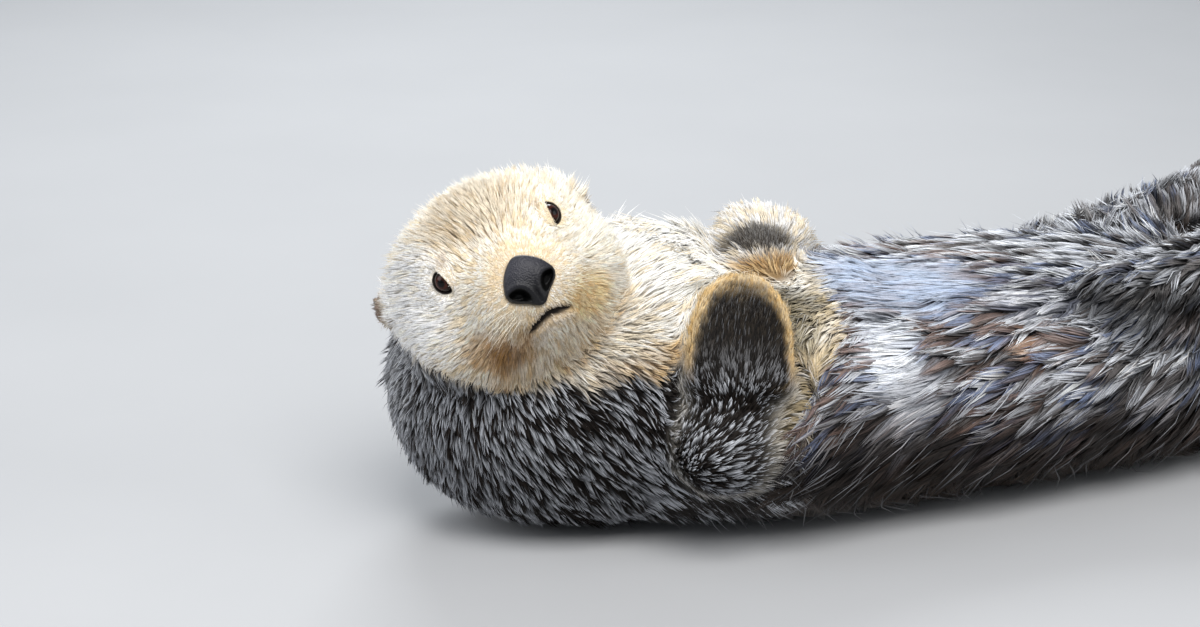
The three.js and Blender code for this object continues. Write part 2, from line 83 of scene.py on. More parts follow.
EYE_RADIUS = 9.5
EYE_SPLAY = 48  # how far each eye looks to its own side, degrees
EYE_DEEPER = 1.0  # how much deeper the eyeball sits than the CAD's plain one
LID_HALF = (8.8, 5.8)  # half the height and half the width of the opening between the lids
LID_TILT = 12  # how far the opening's long axis leans towards the nose at its lower end, degrees
LID_THICKNESS = 0.9

NOSE_AT = (0, -53.3, -35)
NOSE_FRONT = -58.5
# The nose's outline: radii at angles from straight out to its side (-90 is down, 90 is up).
NOSE_ANGLES = (-90, -60, -35, -10, 20, 45, 65, 90)
NOSE_RADII = (20, 15.5, 17, 21, 18.5, 18.3, 19, 21.5)
NOSTRIL_AT = (12.5, -5)  # from the nose's middle to its side and up
NOSTRIL_HALF = (9.5, 5.2)
NOSTRIL_RISE = 28  # degrees that a nostril's slit climbs outward
NOSTRIL_DEPTH = 9

MOUTH_AT = -62.7  # height of the mouth's middle
MOUTH_DROP = 3.8
MOUTH_HALF = 16
MOUTH_DEPTH = 4.2
LIP_HEIGHT = 1.1
CLEFT_DEPTH = 1.2

# The ridge of the loose fold of skin behind the forelegs.
FOLD = (
    (281, -30, 189), (264, -74, 176), (241, -119, 159),
    (217, -130, 151), (187, -147, 121), (176, -151, 100),
)

# The crease under the near thigh, where a dark shadow is painted.
CREASE = ((474, -106, 176), (486, -125, 169), (505, -134, 164), (528, -137, 162), (560, -136, 164))


# ---------------------------------------------------------------- small helpers


def unit(vectors):
    """Vectors brought to length 1."""
    lengths = np.linalg.norm(vectors, axis=-1, keepdims=True)
    return vectors / np.maximum(lengths, 1e-9)


def dot(a, b):
    return (a * b).sum(-1)


def ramp(low, high, values):
    """0 below low, 1 above high, smooth between."""
    t = np.clip((values - low) / (high - low), 0, 1)
    return t * t * (3 - 2 * t)


def bump(values, width):
    """1 where values are 0, falling away on both sides."""
    return np.exp(-((values / width) ** 2))


def mix(a, b, share):
    """a where share is 0, b where it is 1. A share for each point also mixes colours and vectors."""
    a = np.asarray(a, float)
    b = np.asarray(b, float)
    share = np.asarray(share, float)
    if share.ndim == 1 and (a.shape[-1:] == (3,) or b.shape[-1:] == (3,)):
        share = share[:, None]
    return a + (b - a) * share


def noise(points, size, seed):
    """Smooth random values from 0 to 1 at points, in patches about size across."""
    place = points / size + seed * 19.7
    cell = np.floor(place).astype(np.int64)
    part = place - cell
    part = part * part * (3 - 2 * part)
    total = np.zeros(len(points))
    for corner in itertools.product((0, 1), repeat=3):
        x, y, z = (cell + corner).T
        mixed = (x * 73856093) ^ (y * 19349663) ^ (z * 83492791)
        mixed = (mixed ^ (mixed >> 13)) * 1274126177
        value = ((mixed ^ (mixed >> 16)) & 0xFFFF) / 0xFFFF
        total += value * np.prod(np.where(corner, part, 1 - part), axis=1)
    return total


def blotch(points, centre, radii):
    """1 at the middle of a soft spot, 0 outside it."""
    return 1 - ramp(0.55, 1.15, np.linalg.norm((points - centre) / radii, axis=1))


def line_distance(points, line):
    """How far points lie from a line of straight stretches."""
    nearest = np.full(len(points), np.inf)
    for start, end in itertools.pairwise(np.array(line, float)):
        along = end - start
        share = np.clip((points - start) @ along / (along @ along), 0, 1)
        away = np.linalg.norm(points - start - share[:, None] * along, axis=1)
        nearest = np.minimum(nearest, away)
    return nearest


def linear(colour):
    """A colour as the linear values that shaders take."""
    c = np.array(colour) / 255
    return np.where(c <= 0.04045, c / 12.92, ((c + 0.055) / 1.055) ** 2.4)


def mesh_object(name, points, faces):
    """A smooth object of points in the otter's axes; faces is an array of triangles or quads."""
    mesh = bpy.data.meshes.new(name)
    placed = (np.asarray(points) + SHIFT) * MM
    sides = faces.shape[1]
    mesh.vertices.add(len(placed))
    mesh.vertices.foreach_set("co", placed.astype(np.float32).ravel())
    mesh.loops.add(faces.size)
    mesh.loops.foreach_set("vertex_index", faces.astype(np.int32).ravel())
    mesh.polygons.add(len(faces))
    mesh.polygons.foreach_set("loop_start", np.arange(0, faces.size, sides, dtype=np.int32))
    mesh.update(calc_edges=True)
    mesh.shade_smooth()
    made = bpy.data.objects.new(name, mesh)
    bpy.context.scene.collection.objects.link(made)
    return made


def colour_points(piece, colours):
    """Stores each vertex's linear colour, which the materials read."""
    rgba = np.ones((len(colours), 4), np.float32)
    rgba[:, :3] = colours
    layer = piece.data.color_attributes.new("coat", "FLOAT_COLOR", "POINT")
    layer.data.foreach_set("color", rgba.ravel())


def tube_faces(rings, segments, start=None, end=None):
    """Triangles between rings of points that close round. An end closes onto a point of its own, if one is
    named by its number, or else across its ring."""
    ring, step = np.meshgrid(np.arange(rings - 1), np.arange(segments), indexing="ij")
    a = (ring * segments + step).ravel()
    b = (ring * segments + (step + 1) % segments).ravel()
    faces = [np.stack([a, b, b + segments], 1), np.stack([a, b + segments, a + segments], 1)]
    for first, point, order in ((0, start, -1), ((rings - 1) * segments, end, 1)):
        around = first + np.arange(segments)
        if point is None:
            fan = np.stack([np.full(segments - 2, first), around[1:-1], around[2:]], 1)
        else:
            fan = np.stack([np.full(segments, point), around, np.roll(around, -1)], 1)
        faces.append(fan[:, ::order])
    return np.concatenate(faces)


# ---------------------------------------------------------------- the face's axes, found from the frame


def turned(axis, degrees):
    """A turn about an axis: 0 for X, 1 for Y, 2 for Z."""
    c, s = math.cos(math.radians(degrees)), math.sin(math.radians(degrees))
    a, b = (axis + 1) % 3, (axis + 2) % 3
    turn = np.eye(3)
    turn[[a, a, b, b], [a, b, a, b]] = c, -s, s, c
    return turn


def view_axes(azimuth, elevation):
    """The right, up and back of something that looks at the otter from there."""
    a, e = math.radians(azimuth), math.radians(elevation)
    back = np.array([math.sin(a) * math.cos(e), -math.cos(a) * math.cos(e), math.sin(e)])
    right = np.array([math.cos(a), math.sin(a), 0])
    return right, np.cross(back, right), back


def face_axes():
    """Columns: the otter's left, straight back through the head, and up to the crown."""
    left, crown, snout = view_axes(LOOK_AZIMUTH, LOOK_UP)
    return np.stack([left, -snout, crown], 1) @ turned(1, -ROLL) @ turned(2, TURN)


def middle_of(node):
    low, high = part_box(node)
    return np.array((low + high) / 2) / MM


def limb_flow(joints, first):
    """The direction from joint first to the next."""
    return unit(np.subtract(joints[first + 1], joints[first]).astype(float))


def limb_reach(points, joints):
    """How far points lie from a limb's last joint but one, 0, towards its last, 1."""
    start, end = np.array(joints[-2:], float)
    return (points - start) @ (end - start) / ((end - start) @ (end - start))


def foot_axes(side):
    """A hind foot's directions out to the toes, across it, and square to its sole."""
    axis = limb_flow(HINDLEGS[side], 2)
    across = unit(np.cross(axis, FOOT_SOLES[side]))
    return axis, across, np.cross(across, axis)


FACE = face_axes()
EYES = np.array(HEAD_AT) - FACE[:, 1] * EYES_AHEAD
SHIFT = (middle_of("eye_left") + middle_of("eye_right")) / 2 - EYES


def to_face(points):
    return (points - EYES) @ FACE


def from_face(points):
    return np.asarray(points, float) @ FACE.T + EYES


def eye_axes(side):
    """An eye's middle in the face's axes, and the directions out, along its height and along its width."""
    splay, tilt = math.radians(EYE_SPLAY), math.radians(LID_TILT)
    out = np.array([side * math.sin(splay), -math.cos(splay), 0])
    level = np.array([side * math.cos(splay), math.sin(splay), 0])
    tall = math.cos(tilt) * np.array([0, 0, 1.0]) + math.sin(tilt) * level
    wide = np.cross(out, tall)
    name = "eye_left" if side > 0 else "eye_right"
    middle = to_face(middle_of(name) - SHIFT) - out * EYE_DEEPER
    return middle, out, tall, wide


def lid_distance(q, side):
    """1 on the edge of an eye's opening, less inside it, more outside; and the height above its middle."""
    middle, out, tall, wide = eye_axes(side)
    rel = q - middle
    return np.hypot(rel @ tall / LID_HALF[0], rel @ wide / LID_HALF[1]), rel @ out


def mouth_height(x):
    """How high the mouth's line runs at x in the face's axes."""
    return MOUTH_AT - MOUTH_DROP * (np.abs(x) / MOUTH_HALF) ** 1.3


def nose_radius(turn):
    """The nose's radius at an angle round its middle: the outline, with its corners rounded."""
    total = 0
    for wobble in (-10, -5, 0, 5, 10):
        angle = turn + math.radians(wobble)
        folded = np.degrees(np.arctan2(np.sin(angle), np.abs(np.cos(angle))))
        total = total + np.interp(folded, NOSE_ANGLES, NOSE_RADII) / 5
    return total


def nose_distance(q):
    """1 on the nose's outline, less inside it, more outside."""
    x, z = q[:, 0] - NOSE_AT[0], q[:, 2] - NOSE_AT[2]
    return np.hypot(x, z) / nose_radius(np.arctan2(z, x))


# ---------------------------------------------------------------- the skin: flesh nodes run together

FLESH = [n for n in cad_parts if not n.startswith(("eye_", "nose"))]
SWELL = 0.7  # how far the nodes are swollen to overlap
VOXEL = 3.5  # the skin's mesh before the face is refined
SHARE_ROUNDS = 26  # the more, the wider one node's fur gives way to the next one's
RELAX_ROUNDS = 14

# Hollows that loose skin fills: the middle, radii and rounds of smoothing of each.
HOLLOWS = (
    ((120, -125, 80), (105, 80, 66), 70),
    ((262, -70, 150), (60, 90, 70), 50),
    ((146, -122, 136), (48, 44, 34), 50),
)


def flesh_parts():
    """Points and triangles of all flesh nodes, swollen so that they overlap, and each triangle's node."""
    points, faces, owners = [], [], []
    for number, name in enumerate(FLESH):
        work = bmesh.new()
        work.from_mesh(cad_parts[name].data)
        bmesh.ops.remove_doubles(work, verts=work.verts, dist=1e-5)
        bmesh.ops.triangulate(work, faces=work.faces)
        work.normal_update()
        start = len(points)
        points += [v.co + v.normal * SWELL * MM for v in work.verts]
        faces += [[start + v.index for v in f.verts] for f in work.faces]
        owners += [number] * len(work.faces)
        work.free()
    return np.array(points) / MM - SHIFT, np.array(faces), np.array(owners)


def remeshed(points, faces):
    """The outer surface of overlapping parts as one even mesh."""
    rough = mesh_object("rough", points, faces)
    remesh = rough.modifiers.new("run_together", "REMESH")
    remesh.mode = "VOXEL"
    remesh.voxel_size = VOXEL * MM
    depsgraph = bpy.context.evaluated_depsgraph_get()
    made = bpy.data.meshes.new_from_object(rough.evaluated_get(depsgraph))
    bpy.data.objects.remove(rough)
    return made


def biggest_island(work):
    """Deletes all but the largest connected part of a bmesh."""
    left = set(work.verts)
    islands = []
    while left:
        front = [left.pop()]
        island = set(front)
        while front:
            vert = front.pop()
            for edge in vert.link_edges:
                other = edge.other_vert(vert)
                if other in left:
                    left.discard(other)
                    island.add(other)
                    front.append(other)
        islands.append(island)
    islands.sort(key=len)
    for island in islands[:-1]:
        bmesh.ops.delete(work, geom=list(island), context="VERTS")


def refine(work, wanted):
    """Halves the edges of a bmesh between points that wanted() picks."""
    points = np.array([v.co for v in work.verts]) / MM - SHIFT
    picked = wanted(to_face(points))
    edges = [e for e in work.edges if picked[e.verts[0].index] and picked[e.verts[1].index]]
    bmesh.ops.subdivide_edges(work, edges=edges, cuts=1, use_grid_fill=True)
    work.verts.index_update()


def whole_head(q):
    """Which points are refined once: the head's, down to the nape."""
    return (np.linalg.norm((q - (0, 30, -15)) / (115, 75, 90), axis=1) < 1) & (q[:, 1] < 62)


def fine_face(q):
    """Which points are refined twice: those round the eyes, the nose and the mouth."""
    near = np.zeros(len(q), bool)
    for side in (-1, 1):
        near |= np.linalg.norm(q - eye_axes(side)[0], axis=1) < 19
    near |= (np.abs(q[:, 0]) < 27) & (np.abs(q[:, 2] + 50) < 26) & (q[:, 1] < -4)
    return near


def neighbour_mean(edges, count):
    """A function that takes values on the points to their means over each point's neighbours."""
    ends = edges.ravel()
    others = edges[:, ::-1].ravel()
    order = np.argsort(ends, kind="stable")
    starts = np.searchsorted(ends[order], np.arange(count))
    others = others[order]
    degree = np.bincount(ends, minlength=count)[:, None]
    return lambda values: np.add.reduceat(values[others], starts, axis=0) / degree


def point_normals(points, triangles):
    """The mean of the normals of each point's triangles, by their areas."""
    a, b, c = (points[triangles[:, k]] for k in range(3))
    across = np.cross(b - a, c - a)
    corners = triangles.ravel()
    total = [np.bincount(corners, np.repeat(across[:, k], 3), len(points)) for k in range(3)]
    return unit(np.stack(total, 1))


def beyond_fold(p):
    """1 on the tail's side of the loose fold behind the forelegs, 0 on the head's side."""
    heights, places = zip(*((z, x) for x, _, z in reversed(FOLD)))
    near = np.interp(p[:, 2], heights, places)
    ridge = np.where(p[:, 1] > FOLD[0][1], FOLD[0][0], near)
    return ramp(-2, 10, p[:, 0] - ridge)


def behind_head(q):
    """1 behind the edge where the head's cream gives way to the nape, on the near side and below."""
    return ramp(90, 98, q @ (-0.6, 0.5, -0.6))


class Skin:
    """The otter's surface: points, triangles, and what grows at each point."""

    def __init__(self):
        parts, faces, owners = flesh_parts()
        self.mesh = remeshed(parts, faces)
        self.refine_head()
        self.read_mesh()
        self.share = self.shares(parts, faces, owners)
        self.relax(RELAX_ROUNDS, 1 - 0.6 * self.part("hind_foot", "ear", "forepaw"))
        for centre, radii, rounds in HOLLOWS:
            self.ease(centre, radii, rounds)
        self.shrink_by_coat()
        self.sculpt_face()
        self.normals = point_normals(self.points, self.triangles)
        self.density = (1 - 0.75 * self.coat.under) * (1 - self.coat.bare)
        self.tree = BVHTree.FromPolygons(self.points.tolist(), self.triangles.tolist())

    def refine_head(self):
        """Keeps the one closed surface, and makes its mesh finer on the head and finest on the face."""
        work = bmesh.new()
        work.from_mesh(self.mesh)
        biggest_island(work)
        work.verts.index_update()
        refine(work, whole_head)
        refine(work, fine_face)
        bmesh.ops.triangulate(work, faces=[f for f in work.faces if len(f.verts) > 4])
        work.to_mesh(self.mesh)
        work.free()

    def read_mesh(self):
        """Takes over the mesh's points and triangles, and who its points' neighbours are."""
        mesh = self.mesh
        mesh.calc_loop_triangles()
        corners = np.empty(len(mesh.loop_triangles) * 3, np.int32)
        mesh.loop_triangles.foreach_get("vertices", corners)
        self.triangles = corners.reshape(-1, 3)
        edges = np.empty(len(mesh.edges) * 2, np.int32)
        mesh.edges.foreach_get("vertices", edges)
        flat = np.empty(len(mesh.vertices) * 3, np.float32)
        mesh.vertices.foreach_get("co", flat)
        self.points = flat.reshape(-1, 3).astype(float) / MM - SHIFT
        self.mean = neighbour_mean(edges.reshape(-1, 2), len(self.points))

    def shares(self, parts, faces, owners):
        """How much each point belongs to each flesh node: 1 well inside it, less near its edges."""
        tree = BVHTree.FromPolygons(parts.tolist(), faces.tolist())
        nearest = [tree.find_nearest(p)[2] for p in self.points.tolist()]
        self.owner = owners[nearest]
        share = np.zeros((len(self.points), len(FLESH)))
        share[np.arange(len(share)), self.owner] = 1
        for _ in range(SHARE_ROUNDS):
            share = 0.4 * share + 0.6 * self.mean(share)
        for start, end, how_much in (
            ("chest", "belly", beyond_fold(self.points)),
            ("head", "neck", behind_head(to_face(self.points))),
        ):
            moved = share[:, FLESH.index(start)] * how_much
            share[:, FLESH.index(start)] -= moved
            share[:, FLESH.index(end)] += moved
        return share

    def part(self, *starts):
        """How much each point belongs to the nodes whose names start so."""
        return sum(self.share[:, k] for k, n in enumerate(FLESH) if n.startswith(starts))

    def owned(self, *starts):
        """Which triangles belong to the nodes whose names start so."""
        numbers = [k for k, n in enumerate(FLESH) if n.startswith(starts)]
        return np.isin(self.owner[self.triangles[:, 0]], numbers)

    def relax(self, rounds, strength):
        """Smooths facets and steps away without shrinking the form."""
        for _ in range(rounds):
            for pull in (0.55, -0.57):
                self.points += pull * strength[:, None] * (self.mean(self.points) - self.points)

    def ease(self, centre, radii, rounds):
        """Fills the hollows of one stretch of the body, where loose skin hides what lies below."""
        loose = blotch(self.points, centre, radii) * (1 - self.part("head"))
        for _ in range(rounds):
            self.points += 0.5 * loose[:, None] * (self.mean(self.points) - self.points)

    def shrink_by_coat(self):
        """Draws the skin in from the coat's outline by the depth of the fur."""
        normals = point_normals(self.points, self.triangles)
        for _ in range(6):
            normals = unit(self.mean(normals))
        self.coat = Coat(self)
        self.points = self.points - normals * self.coat.depth[:, None]
        self.relax(3, np.ones(len(self.points)))

    def sculpt_face(self):
        """Makes the lids, the nose's collar and the mouth."""
        q = to_face(self.points)
        for side in (-1, 1):
            q = with_lids(q, side)
        q = with_collar(q)
        inward = -point_normals(self.points, self.triangles) @ FACE
        groove, lips, cleft = mouth_shape(q)
        depth = MOUTH_DEPTH * groove - LIP_HEIGHT * lips + CLEFT_DEPTH * cleft
        q = q + inward * depth[:, None]
        self.points = from_face(q)


def lid_height(spread):
    """How high a lid lies over an eyeball's middle, spread away from its axis."""
    return np.sqrt(np.maximum(EYE_RADIUS**2 - spread**2, 0)) + LID_THICKNESS


def with_lids(q, side):
    """The skin round an eye laid over the eyeball as two lids, and sunk behind it within their opening."""
    middle, out, tall, wide = eye_axes(side)
    lid, along = lid_distance(q, side)
    spread = np.hypot((q - middle) @ tall, (q - middle) @ wide)
    rim = lid_height(spread / np.maximum(lid, 1e-6))
    covered = np.where(lid < 1.15, np.maximum(lid_height(spread), rim * 0.98), rim)
    outside = mix(covered, along, ramp(1.1, 2.2, lid))
    crease = 0.7 * bump(lid - 1.45, 0.12)
    height = np.where(lid > 1, outside - crease, mix(-1.0, outside, ramp(0.86, 1.0, lid)))
    facing = (spread < 20) & (along > -8)
    return q + np.where(facing, height - along, 0)[:, None] * out


def with_collar(q):
    """The skin raised to the nose's rim all round, and kept behind it inside."""
    off = nose_distance(q)
    front = q[:, 1] < -28
    raised = mix(NOSE_FRONT + 9.5, q[:, 1], ramp(0.98, 1.55, off))
    raised = np.where(off < 0.94, np.maximum(q[:, 1], -47), np.minimum(raised, q[:, 1]))
    made = q.copy()
    made[:, 1] = np.where(front & (off < 1.6), raised, q[:, 1])
    return made


def mouth_shape(q):
    """How much each point lies in the mouth's groove, on the lips, and in the cleft up to the nose."""
    front = 1 - ramp(-12, 2, q[:, 1])
    fade = 1 - ramp(MOUTH_HALF - 3, MOUTH_HALF + 9, np.abs(q[:, 0]))
    off = np.abs(q[:, 2] - mouth_height(q[:, 0]))
    groove = bump(off, 3.1) * fade * front
    lips = bump(off - 5, 2) * fade * front
    between = ramp(MOUTH_AT - 1, MOUTH_AT + 1, q[:, 2]) * (1 - ramp(-52, -48, q[:, 2]))
    cleft = bump(q[:, 0], 1.2) * between * front
    return groove, lips, cleft


# ---------------------------------------------------------------- the coat's lie, length and markings

CREAM = (250, 244, 232)
CREAM_ROOT = (206, 180, 140)
CHEST_ROOT = (220, 209, 190)
IVORY = (232, 214, 180)
SNOW = (246, 246, 242)
FROST = (246, 248, 252)
SILVER = (236, 240, 248)
GOLD = (226, 188, 124)
GOLD_ROOT = (128, 92, 52)
TAWNY = (190, 140, 84)
RUST = (124, 88, 66)
MAUVE = (124, 86, 64)
MOSS = (128, 122, 102)
MOSS_ROOT = (58, 52, 40)
PEWTER = (84, 72, 65)
BROWN = (74, 60, 50)
BARK = (38, 27, 21)
SOOT = (40, 34, 30)
INK = (20, 16, 14)
PAINTED_SKY_BLUE = (134, 158, 190)
LID = (26, 20, 17)

# Each node's fur: length mm, lift from the skin in degrees, width mm, how strongly its tips draw together,
# and how much of the tips' colour it has half way along.
FUR = {
    "head": (13, 30, 0.9, 0.35, 0.8),
    "ear": (4.5, 18, 0.9, 0.2, 0.6),
    "neck": (14, 27, 1.15, 0.8, 0.28),
    "chest": (20, 26, 1.2, 0.4, 0.7),
    "belly": (42, 12, 1.6, 0.95, 0.4),
    "hips": (40, 14, 1.6, 0.95, 0.45),
    "tail": (18, 15, 2.0, 0.5, 0.5),
    "upper_arm": (10, 26, 1.1, 0.7, 0.2),
    "forearm": (10, 26, 1.1, 0.6, 0.1),
    "forepaw": (7, 22, 1.1, 0.3, 0.5),
    "thigh": (38, 18, 1.6, 0.95, 0.42),
    "shank": (30, 22, 1.6, 0.92, 0.45),
    "hind_foot": (6.5, 16, 1.5, 0.3, 0.5),
}

# Each node's undercoat and tips, the other colour that some locks wear, and the share of those locks.
TINT = {
    "head": (CREAM_ROOT, CREAM, IVORY, 0.25),
    "ear": (SOOT, (112, 74, 56), BROWN, 0.4),
    "neck": (INK, SOOT, (232, 230, 222), 0.45),
    "chest": (CHEST_ROOT, SNOW, IVORY, 0.15),
    "belly": (BARK, SILVER, MAUVE, 0.48),
    "hips": (INK, SILVER, PEWTER, 0.3),
    "tail": (INK, BROWN, PEWTER, 0.3),
    "upper_arm": (INK, SOOT, SILVER, 0.34),
    "forearm": (INK, SOOT, SILVER, 0.15),
    "forepaw": ((12, 10, 9), (26, 22, 19), (44, 38, 31), 0.4),
    "thigh": (INK, SILVER, PEWTER, 0.35),
    "shank": (INK, SILVER, PEWTER, 0.3),
    "hind_foot": (INK, BROWN, SOOT, 0.3),
}

# Soft spots: strength, middle and radii, then the undercoat's, the tips' and the other locks' colour.
# In the face's axes: forehead, near cheek, far cheek; muzzle, whisker pad; below the lip; over the eyes.
BROW_AND_CHEEKS = (
    (0.75, (-2, 2, 34), (46, 46, 40), (120, 96, 76), (210, 195, 167), (182, 159, 126)),
    (0.85, (-76, 20, 2), (44, 60, 56), (214, 206, 190), FROST, CREAM),
    # Far cheek: pale fur, partly painted light, made whiter where it faces away from the lamps.
    (0.8, (66, 8, -16), (34, 44, 44), (228, 206, 160), (255, 250, 236), CREAM),
)
MUZZLE = (
    # Muzzle: golden fur, partly painted light, brightened where it faces away from the lamps.
    (0.85, (36, -20, -64), (27, 40, 20), (204, 166, 106), (246, 218, 158), (222, 180, 114)),
    (0.35, (-22, -40, -56), (18, 24, 16), None, IVORY, GOLD),
)
UNDER_LIP = ((0.85, (-34, -11, -69), (16, 22, 15), (96, 66, 32), (172, 124, 62), (108, 78, 42)),)
ABOVE_EYES = tuple((0.35, (39.5 * side, -9, 12), (6, 8, 5), BROWN, (150, 112, 84)) for side in (-1, 1))
# In the otter's axes: a painted highlight on the wet belly; dark and rusty patches of the near flank.
BELLY_PAINTED_HIGHLIGHT = ((0.7, (440, -88, 160), (34, 26, 26), (96, 100, 116), FROST, SILVER),)
FLANK = (
    (0.8, (404, -127, 138), (14, 20, 14), INK, BARK, BARK),
    (0.8, (420, -127, 138), (9, 20, 15), RUST, TAWNY, RUST),
    (0.6, (545, -138, 146), (26, 20, 11), INK, RUST, BARK),
)

FAR_PAW_PATCH = (231, 8, 210)  # the middle of the dark patch on the far paw
COAT_DEPTH = 0.85  # how deep the skin lies under the CAD's surface, as a share of the tufts' height


def body_flow(n):
    """The lie of the coat behind the chest: the wet fur is swept towards the head and down the near side."""
    top = np.maximum(n[:, 2], 0)[:, None] * (-1.0, -0.2, 0)
    near = np.maximum(-n[:, 1], 0)[:, None] * (-0.95, 0, -0.32)
    far = np.maximum(n[:, 1], 0)[:, None] * (0.9, 0.3, 0.5)
    under = np.maximum(-n[:, 2], 0)[:, None] * (1.0, 0, 0)
    return unit(top + near + far + under)


def pocket(p):
    """1 in the loose fur from the near foreleg back to the fold, 0 towards the head."""
    return ramp(164, 192, p[:, 0] + 0.3 * (p[:, 1] + 60))


# Fur that points one way all over a node.
STEADY_FLOW = {
    "tail": (1.0, -0.05, 0),
    "upper_arm_right": (0.5, -0.2, 0.3),
    "thigh_right": (-0.8, -0.2, -0.5),
    "shank_right": (-0.8, -0.2, -0.5),
    "thigh_left": (-0.2, 0.1, 1.0),
    "shank_left": (-0.2, 0.1, 1.0),
}


def node_flow(name, p, q, n):
    """The direction that fur points in on one node, before it is laid along the skin."""
    from_head = unit(p - HEAD_AT)
    if name == "head" or name.startswith("ear"):
        return unit(q - NOSE_AT) @ FACE.T
    if name == "neck":
        return unit(from_head * 1.4 + (0.5, 0, 0))
    if name == "chest":
        swept = unit(np.array([-0.72, -0.28, -0.63]))
        return unit(mix(unit(from_head + (0.6, 0, 0)), swept, pocket(p)))
    for start, direction in STEADY_FLOW.items():
        if name.startswith(start):
            return unit(np.array(direction))
    if name == "forepaw_left":
        return unit(p - (226, -34, 184))
    kind, _, side = name.rpartition("_")
    if kind == "hind_foot":
        return limb_flow(HINDLEGS[side], 2)
    if kind in ("upper_arm", "forearm", "forepaw"):
        return limb_flow(FORELEGS[side], ("upper_arm", "forearm", "forepaw").index(kind))
    return body_flow(n)


class Coat:
    """What the fur is like at each point of the skin."""

    def __init__(self, skin):
        p, q, n = skin.points, to_face(skin.points), point_normals(skin.points, skin.triangles)
        self.skin, self.p, self.q, self.n = skin, p, q, n
        self.flow = self.lie()
        kinds = {k: skin.part(k) for k in FUR}
        fur = [sum(kinds[k] * FUR[k][i] for k in FUR) for i in range(5)]
        self.length, self.lift, self.width, self.clump, self.pale = fur
        self.head = ramp(0.5, 0.9, kinds["head"])
        self.grade_face()
        self.loosen_pocket()
        self.wet_belly()
        self.raise_far_side()
        self.lift = np.radians(self.lift)
        self.depth = COAT_DEPTH * self.length * np.sin(self.lift)
        self.length += 9 * self.head * blotch(q, (72, 62, 28), (34, 34, 36))  # tufts that hide the far ear
        self.under = 1 - ramp(6, 46, p[:, 2])
        self.bare_shade = self.bare_skin(q)
        self.bare = self.bare_shade > 0.5
        marks = Marks(skin, p, q, n)
        self.root, self.tip, self.other = marks.colours
        self.streak, self.grizzle = marks.streak, marks.grizzle

    def grade_face(self):
        """Short, flat and fine about the nose and the eyes, longer behind the cheeks and under the chin."""
        q, head = self.q, self.head
        near_nose = np.linalg.norm(q - NOSE_AT, axis=1)
        near_eye = np.minimum(*(np.linalg.norm(q - eye_axes(s)[0], axis=1) for s in (-1, 1)))
        short = np.minimum(ramp(14, 92, near_nose), ramp(7, 34, near_eye))
        self.length *= mix(1, mix(0.24, 1.0, short), head)
        self.lift *= mix(1, mix(0.5, 1.0, short), head)
        self.width *= mix(1, mix(0.72, 1.0, short), head)
        ruff = np.clip(head * (ramp(40, 80, q[:, 1]) + 1 - ramp(-95, -65, q[:, 2])), 0, 1)
        self.length *= 1 + 0.35 * ruff
        self.length *= 1 - 0.4 * head * blotch(q, (-82, 36, -64), (54, 54, 52))
        self.clump += 0.12 * head * ramp(-5, 25, q[:, 2]) * (1 - ramp(45, 70, q[:, 1]))
        self.lift += 9 * head * ramp(15, 40, q[:, 1]) * ramp(-60, -20, q[:, 2])

    def loosen_pocket(self):
        """Long wavy locks between the near foreleg and the fold, short again along the fold's ridge."""
        loose = self.skin.part("chest") * pocket(self.p)
        self.length *= 1 + 0.6 * loose
        self.width *= 1 + 0.35 * loose
        self.clump += 0.2 * loose
        self.lift *= 1 - 0.4 * loose
        self.length *= 1 - 0.3 * bump(line_distance(self.p, FOLD), 28)

    def wet_belly(self):
        """Flat and even where the wet fur lies smooth under its painted sky reflection, which reaches further
        down each tuft there; short along the crease.
        """
        sheet = wet_sheet(self.p)
        self.clump -= 0.4 * sheet
        self.lift *= 1 - 0.45 * sheet
        self.pale = mix(self.pale, 0.85, sheet)
        self.length *= 1 - 0.4 * bump(line_distance(self.p, CREASE), 30)

    def raise_far_side(self):
        """Stands tufts up along the far outline: above the paw, here and there on the flank, on the leg."""
        part, p, n = self.skin.part, self.p, self.n
        dark = blotch(p, FAR_PAW_PATCH, (34, 25, 25))
        above = part("forepaw_left") * ramp(-8, 12, p[:, 1]) * (1 - 0.8 * dark)
        leg = part("thigh_left", "shank_left")
        rim = part("belly", "hips") * ramp(0.2, 0.8, n[:, 1]) * ramp(-0.1, 0.4, n[:, 2])
        self.lift += 12 * above + 20 * leg + 34 * rim * ramp(0.45, 0.62, noise(p, 22, 12))
        self.length *= (1 + 0.6 * above) * (1 - 0.25 * leg - 0.35 * rim)

    def lie(self):
        """The way the fur points, laid along the skin: each node's own, round the eyes, with slow swirls."""
        skin, p, q, n = self.skin, self.p, self.q, self.n
        flow = np.zeros_like(p)
        for number, name in enumerate(FLESH):
            flow += skin.share[:, number : number + 1] * node_flow(name, p, q, n)
        for side in (-1, 1):
            middle = eye_axes(side)[0]
            near = 1 - ramp(8, 20, np.linalg.norm(q - middle, axis=1))
            flow += 1.5 * near[:, None] * (unit(q - middle) @ FACE.T)
        swirl = unit(np.stack([noise(p, 34, seed) - 0.5 for seed in (1, 2, 3)], 1)) * 0.22
        flow = unit(flow) + swirl
        flow -= dot(flow, n)[:, None] * n
        for _ in range(4):
            flow = unit(skin.mean(flow))
        # Where the chest's coat meets the belly's, one turns into the other slowly.
        meeting = blotch(p, (250, -75, 158), (75, 95, 70))[:, None]
        for _ in range(40):
            flow = unit(mix(flow, skin.mean(flow), meeting))
        return flow

    def bare_skin(self, q):
        """1 where no fur grows: between the lids, in the mouth, under the nose pad."""
        bare = np.zeros(len(q))
        for side in (-1, 1):
            lid, height = lid_distance(q, side)
            bare = np.maximum(bare, (1 - ramp(1.0, 1.12, lid)) * (height > -6))
        groove, _, _ = mouth_shape(q)
        bare = np.maximum(bare, ramp(0.15, 0.5, groove))
        return np.maximum(bare, (nose_distance(q) < 0.98) & (q[:, 1] < -30))


